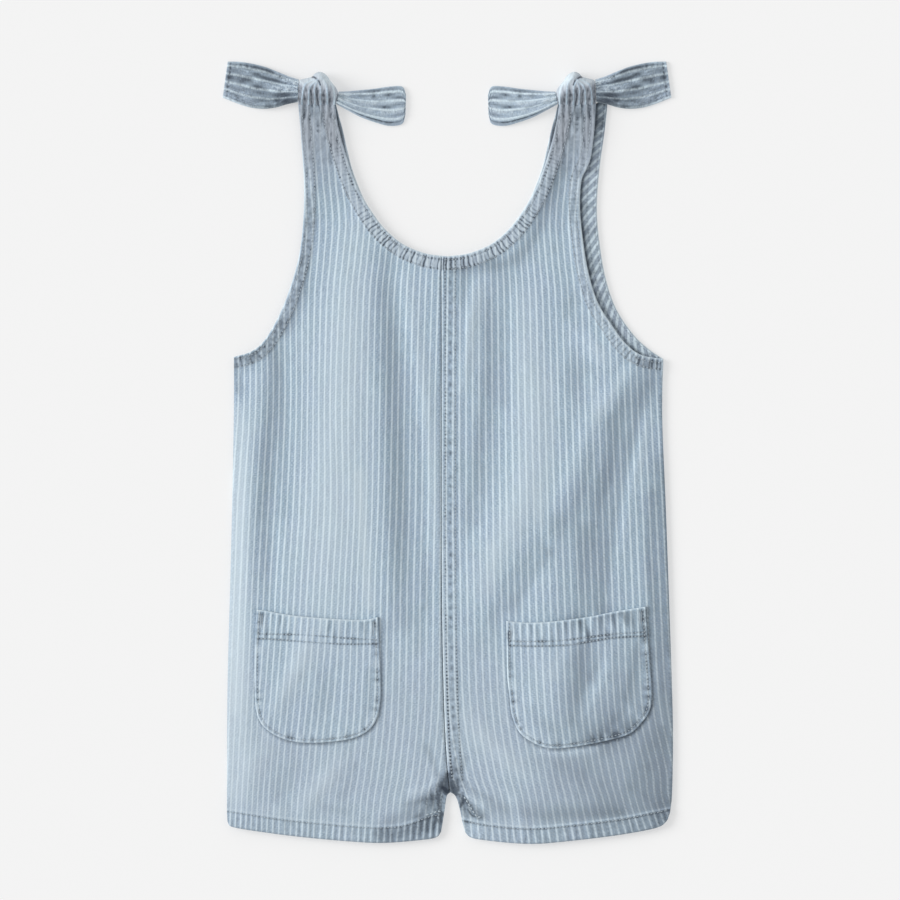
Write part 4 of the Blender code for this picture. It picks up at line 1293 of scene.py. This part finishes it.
def tie_edges(rows, side):
    """The upper and lower edge of a tie, and how far along it each pair of points lies."""
    table = np.array(rows)
    coarse = np.arange(len(table), dtype=float)
    fine = smooth(np.column_stack([coarse, coarse * 0, table]), 1 / TIE_STEPS)[:, 2:]
    sign = (-side, 1)
    return fine[:, :2] * sign, fine[:, 2:] * sign, np.linspace(0, 1, len(fine))


def tie_height(along, across):
    """Height of a tie's underside: lifted and pleated where it leaves the knot."""
    near_knot = ease(1 - along * 1.15)
    pleat = 0.5 - 0.5 * np.cos(2 * math.pi * TIE_PLEATS * across)
    return near_knot * (TIE_KNOT_LIFT + TIE_PLEAT_DEPTH * pleat)


def tie_blots(a, b, style):
    """Dark and pale blots of a tie, of dye and of painted light and shade, and its soft unevenness.
    """
    total = np.zeros(a.shape)
    for along, across, half_along, half_across, amount in style.blots:
        across, along = (b - across) / half_across, (a - along) / half_along
        total += amount * np.exp(-across * across - along * along)
    places = np.column_stack([(b * 13).ravel(), (a * 9).ravel()])
    fine = uneven(places, 1.0, 1.0, style.seed) + 0.6 * uneven(places, 0.45, 0.4, style.seed)
    fine += 0.8 * uneven(places, 0.26, 0.11, style.seed + 3)
    fine = fine.reshape(a.shape)
    return 1.5 * total * (1 + 1.1 * fine) + 0.40 * fine, fine


def tie_skin(edges, style, inset, sewing):
    """Rows of points across one skin of a tie: place, top, underside, stripe, dye with painted
    light and shade, and line.

    Of the shares of its length and its width, a runs from the knot and b from its upper edge.
    """
    upper, lower, along = edges
    b_row = (1 - np.cos(np.linspace(0, math.pi, TIE_POINTS))) / 2
    a, b = np.meshgrid(along, b_row, indexing="ij")
    width = np.linalg.norm(lower - upper, axis=1)[:, None]
    length = float(length_of((upper + lower) / 2))
    share = inset / width + b * (1 - 2 * inset / width)
    place = upper[:, None] + (lower - upper)[:, None] * share[..., None]

    # Its thickness, with puckers, blots and stitches on it
    edge, end = np.minimum(b, 1 - b) * width, (1 - a) * length
    full = np.sqrt(np.clip(1 - (1 - np.clip(edge / 1.1, 0, 1)) ** 2, 0, 1))
    thick = (TIE_WALL - 2 * inset) * (0.15 + 0.85 * full)
    middle = tie_height(a, b) + TIE_WALL / 2
    ribs = wander(a * length / 1.9, style.seed) * bump((edge - TIE_EDGE_STITCHES) / 1.6)
    blots, fine = tie_blots(a, b, style)
    relief = 0.5 * bump((b - 0.5) / 0.3) * ease(end / 8) * ease(edge / 3)
    relief += 0.16 * ribs * sewing.pucker + (0.3 * fine + 0.5 * blots) * ease(edge / 2)
    end_row = bump((end - TIE_END_STITCHES) / 0.6)
    relief -= 0.25 * end_row

    # Its stripes, and its pale folded edge where it has one
    stripe = b * style.stripes + style.first_stripe
    from_stripe = np.abs(stripe - np.round(stripe)) * width / style.stripes
    line = TIE_FADING + style.line * bump(from_stripe / 0.42)
    if style.fold_line:
        from_fold = (b - style.fold_line) * width
        line += 1.0 * bump(from_fold / 0.45)
        relief += 0.6 * ease((0.2 - from_fold) / 0.8) - 0.3
    else:
        relief -= 0.2 * bump((edge - TIE_EDGE_STITCHES) / 0.6)
    top = middle + thick / 2 + np.maximum(relief, -0.35 * thick)
    bottom = np.maximum(middle - thick / 2, inset)

    # Its stitches, with painted shade in their holes, painted light and shade on its puckers, its
    # pale edges and its dye
    rows = 1.5 * end_row * dots(b * width, sewing.pitch * 1.3)
    rows += 0.6 * bump((b * width - TIE_EDGE_STITCHES) / 0.45) * dots(a * length, sewing.pitch)
    shade = style.tone + blots + 0.24 * ribs - 0.6 * rows + 0.40 * bump(edge / 0.7)
    shade += 0.45 * bump(end / 0.8)
    return [place, top, bottom, stripe, shade, line]


def tie_tube(skin, along, first):
    """Vertices, faces and cloth values of one skin of a tie, closed at its far end."""
    place, top, bottom, stripe, shade, line = skin
    steps, width = top.shape
    flat = place - MIDDLE
    ring = np.concatenate([np.dstack([flat, top]), np.dstack([flat, bottom])[:, -2:0:-1]], axis=1)
    down = np.broadcast_to((along[:steps] * TIE_LENGTH)[:, None], (steps, width))
    values = [
        np.concatenate([v, v[:, -2:0:-1]], axis=1).ravel() for v in (stripe, down, shade, line)
    ]
    around = ring.shape[1]
    index = first + np.arange(steps * around).reshape(steps, around)
    turned = np.roll(index, -1, axis=1)
    faces = np.stack([index[:-1], turned[:-1], turned[1:], index[1:]], axis=-1)
    tops, lows = index[-1, :width], np.append(index[-1, :1], index[-1, :width - 2:-1])
    cap = np.stack([tops[:-1], tops[1:], lows[1:], lows[:-1]], axis=-1)
    cap = [list(dict.fromkeys(face)) for face in cap.tolist()]
    return ring.reshape(-1, 3), faces.reshape(-1, 4).tolist() + cap, values, index[0]


def make_tie(name, style, side, sewing, cloth):
    """One tail of a bow: a flattened tube with a stitched end, open where it enters the knot."""
    edges = tie_edges(style.table, side)
    skin = tie_skin(edges, style, 0.0, sewing)
    vertices, faces, values, mouth = tie_tube(skin, edges[2], 0)
    inner = [part[:-3] for part in tie_skin(edges, style, TIE_SKIN, sewing)]
    pressed = LINING_GAP * (inner[1] - inner[2])
    inner[1], inner[2] = inner[1] - pressed, inner[2] + pressed
    more, lining, inner_values, inner_mouth = tie_tube(inner, edges[2], len(vertices))
    faces += [face[::-1] for face in lining]
    rim_faces = [mouth, inner_mouth, np.roll(inner_mouth, -1), np.roll(mouth, -1)]
    faces += np.stack(rim_faces, axis=-1).tolist()
    if side == RIGHT:
        faces = [face[::-1] for face in faces]
    stripe, down, shade, line = (np.concatenate(pair) for pair in zip(values, inner_values))
    vertices, fabric = np.vstack([vertices, more]), np.column_stack([stripe, down])
    thing = mesh_object(name + "_cloth", vertices, faces, fabric, shade, line, cloth)
    stand_for(thing, name)
    upper, lower, _ = edges
    length = float(length_of((upper + lower) / 2)) * MM
    return thing


# ---------------------------------------------------------------- stitching


def thread_mesh(name, starts, ends, radius, material):
    """One mesh of short stitches, each a small spindle from its start to its end."""
    along = ends - starts
    length = np.linalg.norm(along, axis=1, keepdims=True)
    along = along / length
    side = np.column_stack([-along[:, 1], along[:, 0], np.zeros(len(along))])
    side /= np.linalg.norm(side, axis=1, keepdims=True)
    up = np.cross(along, side)
    sides, rings = THREAD_SIDES, []
    for share, size in ((0.0, 0.35), (0.2, 1.0), (0.8, 1.0), (1.0, 0.35)):
        for i in range(sides):
            turn = 2 * math.pi * i / sides
            out = math.cos(turn) * side + math.sin(turn) * up
            rings.append(starts + along * length * share + out * radius * size)
    pattern = []
    for ring in range(3):
        for i in range(sides):
            a, b = ring * sides + i, ring * sides + (i + 1) % sides
            pattern.append([a, b, b + sides, a + sides])
    pattern += [list(range(sides))[::-1], list(range(3 * sides, 4 * sides))]
    faces = []
    for first in range(0, len(starts) * len(rings), len(rings)):
        faces += [[first + i for i in face] for face in pattern]
    mesh = bpy.data.meshes.new(name)
    mesh.from_pydata((np.stack(rings, axis=1).reshape(-1, 3) * MM).tolist(), [], faces)
    mesh.shade_smooth()
    return riding(name, mesh, material)


def stitches_on(curve, sewing):
    """Where each stitch along a curve starts and ends, in the plane."""
    steps = np.linalg.norm(np.diff(curve, axis=0), axis=1)
    travelled = np.concatenate([[0], np.cumsum(steps)])
    firsts = np.arange(sewing.pitch * 0.5, travelled[-1] - sewing.pitch, sewing.pitch)
    gap = 0.36 * sewing.pitch

    def at(distances):
        return np.column_stack([np.interp(distances, travelled, curve[:, i]) for i in (0, 1)])

    return at(firsts + gap / 2), at(firsts + sewing.pitch - gap / 2)


def lay_stitches(name, stitches, surface, panel, sewing, thread, material):
    """Stitches laid on the surface of a panel or a pocket, sunk in its cloth."""
    laid = []
    for points in stitches:
        top = surface(points, panel, sewing).upper
        laid.append(np.column_stack([points - MIDDLE, top + thread * SUNK]))
    return thread_mesh(name, *laid, thread, material)


def within(points, panel, inset):
    """Whether each point lies inside a panel's outline, at least an inset from it."""
    closed = np.vstack([panel.outline, panel.outline[:1]])
    return near(points, closed)[1] * -panel.side > inset


def make_panel_stitches(panel, sewing, material):
    """The rows that hold a front's turned edges."""
    lines = [row_line(band, offset) for band in panel.bands for offset, _ in band.look.rows]
    starts, ends = (np.vstack(part) for part in zip(*(stitches_on(line, sewing) for line in lines)))
    top, inset, seam_x, reach = STRAP_TOP - 4, 0.5, 8, 7
    kept = (starts[:, 1] < top) & (ends[:, 1] < top)
    kept &= within(starts, panel, inset) & within(ends, panel, inset)
    kept &= (starts[:, 1] > SEAM_STITCHES_END) | (np.abs(starts[:, 0] - seam_x) > reach)
    stitches, name = (starts[kept], ends[kept]), panel.name + "_stitching"
    return lay_stitches(name, stitches, front_surface, panel, sewing, sewing.thread, material)


def make_inseam_stitches(panel, sewing, material):
    """Coarse stitches at the crotch."""
    row = INSEAM_STITCHES[0 if panel.side == LEFT else 1]
    stitches = stitches_on(smooth(row, 0.5), sewing._replace(pitch=COARSE_PITCH))
    name, thread = panel.name + "_crotch_stitching", sewing.thread * COARSE_THREAD
    return lay_stitches(name, stitches, front_surface, panel, sewing, thread, material)


def bartack(corner, inwards):
    """Starts and ends of a bartack's two upright stitches, side by side near a corner."""
    across, top = corner[0] + inwards[0], corner[1] + inwards[1]
    x = across + BARTACK_PITCH * np.array((-0.5, 0.5))
    return [np.column_stack([x, np.full(2, y)]) for y in (top, top - BARTACK_LENGTH)]


def make_pocket_stitches(panel, sewing, material):
    """The rows round a pocket and across its hem."""
    pocket = POCKETS[panel.side]
    edge = smooth(pocket.edge, SHAPE)
    inward = inside_of(edge, pocket_outline(pocket)) * POCKET_STITCHES
    rows = [stitches_on(beside(edge, inward), sewing)]
    rows += [stitches_on(smooth(row, SHAPE), sewing) for row in pocket.rows]
    left, right = pocket.mouth[0], pocket.mouth[-1]
    rows += [bartack(left, (3.0, -3.0)), bartack(right, (-3.4, -2.5))]
    stitches = [np.vstack(part) for part in zip(*rows)]
    name = panel.name.replace("front", "pocket") + "_stitching"
    return lay_stitches(name, stitches, pocket_surface, panel, sewing, sewing.thread, material)


# ---------------------------------------------------------------- materials


SOCKETS = {
    "colour": "Base Color", "roughness": "Roughness", "shine": "Specular IOR Level",
    "nap": "Sheen Weight", "nap_roughness": "Sheen Roughness", "normal": "Normal",
    "glow_colour": "Emission Color", "glow": "Emission Strength",
}


class Nodes:
    """Short ways to add and join the nodes of one material."""

    def __init__(self, name):
        self.material = bpy.data.materials.new(name)
        self.material.use_nodes = True
        self.tree = self.material.node_tree
        self.shader = self.tree.nodes["Principled BSDF"]

    def add(self, kind, inputs=(), **settings):
        node = self.tree.nodes.new("ShaderNode" + kind)
        for key, value in settings.items():
            setattr(node, key, value)
        for key, value in dict(inputs).items():
            self.set(node.inputs[key], value)
        return node

    def set(self, socket, value):
        if isinstance(value, bpy.types.NodeSocket):
            self.tree.links.new(value, socket)
        elif hasattr(value, "__len__") and len(value) == 3 and socket.type == "RGBA":
            socket.default_value = (*value, 1.0)
        else:
            socket.default_value = value

    def sum(self, operation, *values):
        return self.add("Math", enumerate(values), operation=operation).outputs[0]

    def times(self, vector, factors):
        inputs = {0: vector, 1: factors}
        return self.add("VectorMath", inputs, operation="MULTIPLY").outputs[0]

    def attribute(self, word):
        return self.add("Attribute", attribute_name=word).outputs["Fac"]

    def place(self):
        return self.add("NewGeometry").outputs["Position"]

    def noise(self, vector, scale, detail=2.0):
        inputs = {"Vector": self.times(vector, scale), "Scale": 1.0, "Detail": detail}
        return self.add("TexNoise", inputs).outputs["Fac"]

    def between(self, value, low, high, start=0.0, end=1.0, kind="SMOOTHSTEP"):
        inputs = {"Value": value, "From Min": low, "From Max": high, "To Min": start, "To Max": end}
        return self.add("MapRange", inputs, interpolation_type=kind).outputs["Result"]

    def mix(self, share, first, second, blend="MIX"):
        inputs = {0: share, 6: first, 7: second}
        return self.add("Mix", inputs, data_type="RGBA", blend_type=blend).outputs[2]

    def finish(self, relief=None, strength=0.0, depth=0.0, **surface):
        """The material, with its surface values and its fine relief in metres."""
        if relief:
            inputs = {"Height": relief, "Strength": strength, "Distance": depth}
            surface["normal"] = self.add("Bump", inputs).outputs[0]
        for word, value in surface.items():
            self.set(self.shader.inputs[SOCKETS[word]], value)
        return self.material


# Scales of the cloth's unevenness, in patches for each millimetre across and along its threads
SLOW, DRIFT, WORN = (0.12, 0.02, 0.0), (0.5, 0.12, 0.0), (0.9, 0.16, 0.0)
STREAKS, SPECKS, MOTTLE = (2.2, 0.14, 0.0), (0.7, 1.35, 0.0), (0.055, 0.035, 0.0)
TWILL = {"Scale": 0.23, "Distortion": 2.0, "Detail": 1.0, "Detail Scale": 2.0}
WEAVE_DEPTH = 0.0004  # metres
THREAD_PLIES = (3000.0, 3000.0, 3000.0)  # these two for each metre
FLOOR_GRAIN = (40.0, 40.0, 40.0)
PLY_DEPTH = 0.0001


def woven_stripes(made, cloth, stripe, width):
    """How clear the pale woven stripe is at each place, and how much of it has washed out."""
    slow = made.noise(cloth, SLOW, 1.0)
    wobble = made.sum("MULTIPLY_ADD", made.noise(cloth, DRIFT), 0.14, -0.07)
    nearest = made.sum("PINGPONG", made.sum("ADD", stripe, wobble), 0.5)
    off_line = made.sum("MULTIPLY", nearest, STRIPE_PITCH)
    width = made.sum("MULTIPLY_ADD", slow, 0.35, width - 0.17)
    inner, outer = made.sum("SUBTRACT", width, 0.30), made.sum("ADD", width, 0.34)
    mask = made.between(off_line, inner, outer, 1.0, 0.0)
    drawn = made.attribute("line")
    lost = made.sum("MINIMUM", drawn, 0.0)
    mask = made.sum("MULTIPLY_ADD", lost, 0.6, mask)
    mask = made.sum("MAXIMUM", mask, made.sum("MAXIMUM", drawn, 0.0))
    worn = made.between(made.noise(cloth, WORN, 3.0), 0.25, 0.6, 0.70, 1.0)
    return made.sum("MULTIPLY", mask, worn), lost


def denim(name, dye, looks, tone=0.0, line_width=1.0):
    """Washed denim with pale woven stripes and streaks, paler and darker by dye, washing and
    painted light and shade.

    Its tone is added to the dye of every point, and its line width is a share of the usual one.
    """
    made, pale = Nodes(name), tuple(looks.line)
    fabric = made.add("UVMap", uv_map="fabric").outputs[0]
    stripe = made.add("SeparateXYZ", {0: fabric}).outputs[0]
    cloth = made.times(fabric, (STRIPE_PITCH, 1.0, 0.0))
    mask, lost = woven_stripes(made, cloth, stripe, looks.line_width * line_width / MM / 2)
    streaks, specks = made.noise(cloth, STREAKS, 3.0), made.noise(cloth, SPECKS, 3.0)
    deep, light = tuple(c * 0.80 for c in dye), tuple(min(c * 1.14, 1.0) for c in dye)
    ground = made.mix(made.between(streaks, 0.3, 0.7), deep, light)
    ground = made.mix(made.between(specks, 0.35, 0.70, 0.0, 0.50), ground, pale)
    colour = made.mix(mask, ground, pale)
    twill = made.add("TexWave", {"Vector": cloth, **TWILL}, bands_direction="DIAGONAL")
    twilled = made.between(twill.outputs["Fac"], 0.3, 0.7)
    twilled = made.sum("MULTIPLY", twilled, made.between(specks, 0.35, 0.6))
    colour = made.mix(made.sum("MULTIPLY", twilled, 0.13), colour, looks.hollow)
    mottle = made.between(made.noise(cloth, MOTTLE, 3.0), 0.35, 0.65)
    colour = made.mix(0.5, colour, made.mix(mottle, looks.lilac, looks.green), "SOFT_LIGHT")
    colour = made.mix(made.sum("MULTIPLY", lost, -1.0), colour, looks.faded)
    # Shade values below 0 darken it towards the hollow colour, partly as painted shade, and above 0
    # pale it towards the worn colour, partly as painted highlight
    shade = made.sum("ADD", made.attribute("shade"), tone)
    crumb = made.sum("MULTIPLY_ADD", specks, 1.4, 0.3)
    dark = made.sum("MULTIPLY", made.sum("MULTIPLY", shade, -1.0), crumb)
    deepest = made.between(dark, 1.0, 2.6, 0.0, 0.2, kind="LINEAR")
    hollowed = made.sum("ADD", made.between(dark, 0.0, 1.0, 0.0, 0.8, kind="LINEAR"), deepest)
    colour = made.mix(hollowed, colour, looks.hollow)
    colour = made.mix(made.between(shade, 0.0, 1.2, kind="LINEAR"), colour, looks.worn)
    relief = made.sum("ADD", made.sum("MULTIPLY", streaks, 0.6), specks)
    relief = made.sum("MULTIPLY_ADD", mask, 0.5, relief)
    return made.finish(
        relief, looks.weave, WEAVE_DEPTH,
        colour=colour, roughness=0.86, shine=0.22, nap=0.12, nap_roughness=0.5,
    )


def thread_material(looks):
    """Matt cotton thread, its plies showing as fine slanting rings."""
    made = Nodes("cotton_thread")
    plies = made.noise(made.place(), THREAD_PLIES)
    dark = tuple(c * 0.75 for c in looks.thread)
    colour = made.mix(made.between(plies, 0.3, 0.7), dark, looks.thread)
    return made.finish(plies, 0.3, PLY_DEPTH, colour=colour, roughness=0.7)


def floor_material(colour):
    """Matt pale table with a barely visible grain, whose own glow softens the shadows on it."""
    made = Nodes("studio_floor")
    grain = made.noise(made.place(), FLOOR_GRAIN, 3.0)
    colour = made.mix(grain, tuple(c * 0.997 for c in colour), colour)
    return made.finish(
        colour=colour, roughness=0.9, shine=0.0, glow_colour=(1.0, 1.0, 1.0), glow=FLOOR_GLOW
    )


def denim_of(looks, name, dye, tone=0.0, line_width=1.0):
    """The material of a cloth, made when it is first asked for."""
    return bpy.data.materials.get(name) or denim(name, tuple(dye), looks, tone, line_width)


# ---------------------------------------------------------------- settings


def colour(name, description, default):
    return bpy.props.FloatVectorProperty(
        name=name, description=description, subtype="COLOR", size=3, min=0, max=1, default=default
    )


def number(name, description, default, **limits):
    return bpy.props.FloatProperty(
        name=name, description=description, default=default, min=0, **limits
    )


def length(name, description, default):
    return bpy.props.FloatProperty(
        name=name, description=description, subtype="DISTANCE", unit="LENGTH", default=default * MM
    )


class RomperCloth(bpy.types.PropertyGroup):
    """Colours and weave of the denim."""

    dye: colour("Dye", "Ground colour of the washed denim", (0.312, 0.418, 0.532))
    # The inside dye is greyer than the face's, and darker as painted shade for the slivers of back
    # that show
    inside_shaded_dye: colour("Inside Dye", "Ground colour of the cloth's inner side", (0.30, 0.37, 0.46))
    line: colour("Stripe", "Colour of the pale woven stripes", (0.68, 0.80, 0.88))
    # The hollow colour is also where painted shade takes the cloth
    hollow: colour("Hollow", "Dye left in seams and puckers", (0.034, 0.046, 0.066))
    # The worn colour is also where painted highlights take the cloth
    worn: colour("Worn", "Cloth worn pale on its edges", (0.67, 0.765, 0.82))
    faded: colour("Faded", "Cloth whose stripes have washed out", (0.42, 0.455, 0.51))
    thread: colour("Thread", "Sewing thread", (0.50, 0.58, 0.64))
    green: colour("Cool Tint", "One tint of the soft mottling", (0.50, 0.53, 0.51))
    lilac: colour("Warm Tint", "The other tint of the soft mottling", (0.49, 0.48, 0.52))
    line_width: length("Stripe Width", "Width of a pale stripe", 1.1)
    weave: number("Weave", "How strongly the weave stands out", 0.35, max=1)


class RomperSewing(bpy.types.PropertyGroup):
    """Size of the stitches and depth of the puckers."""

    stitch: length("Stitch", "Distance from one needle hole to the next", 2.3)
    thread_radius: length("Thread Radius", "Half the thickness of the thread", 0.24)
    pucker_depth: number("Pucker", "Depth of the puckers along stitched edges", 1.0)


class RomperStage(bpy.types.PropertyGroup):
    """Floor, light and camera."""

    floor: colour("Floor", "Colour of the floor", (0.5, 0.5, 0.5))
    sky: number("Soft Light", "Strength of the light from all round", 0.66)
    sun: number("Key Light", "Strength of the light from the left", 1.92)
    sun_height: number(
        "Key Height", "Angle of the key light above the floor", math.radians(30),
        subtype="ANGLE", unit="ROTATION",
    )
    frame_width: length("Frame Width", "Width that the camera takes in", 585.0)
    frame_x: length("Frame Across", "Where the camera looks, across the romper", 1.4)
    frame_y: length("Frame Along", "Where the camera looks, along the romper", 1.75)


Sewing = namedtuple("Sewing", "pitch thread pucker")


def sewing_of(context):
    group = context.scene.romper_sewing
    return Sewing(group.stitch / MM, group.thread_radius / MM, group.pucker_depth)


def face_denim(looks):
    return denim_of(looks, "striped_denim", looks.dye)


# ---------------------------------------------------------------- operators


class ROMPER_OT_backs(bpy.types.Operator):
    """Lay the two back halves and the facing of the right armhole"""

    bl_idname = "romper.backs"
    bl_label = "Backs and Facing"

    def execute(self, context):
        looks = context.scene.romper_cloth
        inside = denim_of(looks, "inside_denim_shaded", looks.inside_shaded_dye, INSIDE_SHADE_TONE)
        bias = denim_of(looks, "bias_denim", looks.inside_shaded_dye, line_width=BIAS_LINE_WIDTH)
        for panel in backs():
            make_back(panel, sewing_of(context), inside)
        make_facing(sewing_of(context), bias)
        return {"FINISHED"}


class ROMPER_OT_fronts(bpy.types.Operator):
    """Lay the two fronts with their straps over the backs"""

    bl_idname = "romper.fronts"
    bl_label = "Fronts"

    def execute(self, context):
        cloth = face_denim(context.scene.romper_cloth)
        for panel in fronts():
            make_front(panel, sewing_of(context), cloth)
        return {"FINISHED"}


class ROMPER_OT_pockets(bpy.types.Operator):
    """Lay the two patch pockets on the fronts"""

    bl_idname = "romper.pockets"
    bl_label = "Pockets"

    def execute(self, context):
        cloth = face_denim(context.scene.romper_cloth)
        for panel in fronts():
            make_pocket(panel, sewing_of(context), cloth)
        return {"FINISHED"}


class ROMPER_OT_bows(bpy.types.Operator):
    """Make the two knots and the four ends of the ties"""

    bl_idname = "romper.bows"
    bl_label = "Shoulder Bows"

    def execute(self, context):
        looks, sewing = context.scene.romper_cloth, sewing_of(context)
        cloth = denim_of(looks, "striped_denim_ties", looks.dye, TIE_TONE)
        for word, side in (("left", LEFT), ("right", RIGHT)):
            make_knot(side, cloth)
            make_tie(f"tie_{word}_outer", OUTER, side, sewing, cloth)
            make_tie(f"tie_{word}_inner", INNER, side, sewing, cloth)
        return {"FINISHED"}


class ROMPER_OT_stitching(bpy.types.Operator):
    """Sew the rows of stitches along edges, seams and pockets"""

    bl_idname = "romper.stitching"
    bl_label = "Stitching"

    def execute(self, context):
        thread = thread_material(context.scene.romper_cloth)
        sewing = sewing_of(context)
        for panel in fronts():
            make_panel_stitches(panel, sewing, thread)
            make_pocket_stitches(panel, sewing, thread)
            make_inseam_stitches(panel, sewing, thread)
        return {"FINISHED"}


class ROMPER_OT_stage(bpy.types.Operator):
    """Set the floor, the light and the camera above the romper"""

    bl_idname = "romper.stage"
    bl_label = "Stage"

    def execute(self, context):
        stage = context.scene.romper_stage
        lowest = CAD_BOX[0].z - FLOOR_GAP
        bpy.ops.mesh.primitive_plane_add(size=FLOOR_SIZE, location=(0, 0, lowest))
        floor = context.active_object
        floor.name = "floor"
        floor.data.materials.append(floor_material(tuple(stage.floor)))
        world = bpy.data.worlds.new("soft_light")
        world.use_nodes = True
        sky = world.node_tree.nodes["Background"].inputs
        sky["Color"].default_value = (1, 1, 1, 1)
        sky["Strength"].default_value = stage.sky
        context.scene.world = world
        sun = bpy.data.lights.new("key_light", "SUN")
        sun.energy = stage.sun
        sun.angle = KEY_SOFTNESS
        lamp = bpy.data.objects.new("key_light", sun)
        lamp.rotation_euler = (0, stage.sun_height - math.pi / 2, KEY_TURN)
        context.scene.collection.objects.link(lamp)
        camera = bpy.data.cameras.new("camera")
        camera.type = "ORTHO"
        camera.ortho_scale = stage.frame_width
        eye = bpy.data.objects.new("camera", camera)
        eye.location = (stage.frame_x, stage.frame_y, CAMERA_HEIGHT)
        context.scene.collection.objects.link(eye)
        context.scene.camera = eye
        context.scene.view_settings.view_transform = "Standard"
        return {"FINISHED"}


STEPS = (
    ROMPER_OT_backs, ROMPER_OT_fronts, ROMPER_OT_pockets, ROMPER_OT_bows, ROMPER_OT_stitching,
    ROMPER_OT_stage,
)


class ROMPER_PT_panel(bpy.types.Panel):
    """Settings and steps of the romper"""

    bl_idname = "ROMPER_PT_panel"
    bl_label = "Baby Romper"
    bl_space_type = "VIEW_3D"
    bl_region_type = "UI"
    bl_category = "Romper"

    def draw(self, context):
        for group in (
            context.scene.romper_cloth, context.scene.romper_sewing, context.scene.romper_stage
        ):
            for word in group.__annotations__:
                self.layout.prop(group, word)
        for step in STEPS:
            self.layout.operator(step.bl_idname)


GROUPS = (RomperCloth, RomperSewing, RomperStage)
CLASSES = (*GROUPS, *STEPS, ROMPER_PT_panel)


def register():
    for each in CLASSES:
        bpy.utils.register_class(each)
    bpy.types.Scene.romper_cloth = bpy.props.PointerProperty(type=RomperCloth)
    bpy.types.Scene.romper_sewing = bpy.props.PointerProperty(type=RomperSewing)
    bpy.types.Scene.romper_stage = bpy.props.PointerProperty(type=RomperStage)


def unregister():
    del bpy.types.Scene.romper_stage
    del bpy.types.Scene.romper_sewing
    del bpy.types.Scene.romper_cloth
    for each in reversed(CLASSES):
        bpy.utils.unregister_class(each)


def main():
    register()
    bpy.ops.romper.backs()
    bpy.ops.romper.fronts()
    bpy.ops.romper.pockets()
    bpy.ops.romper.bows()
    bpy.ops.romper.stitching()
    bpy.ops.romper.stage()


if __name__ == "__main__":
    main()
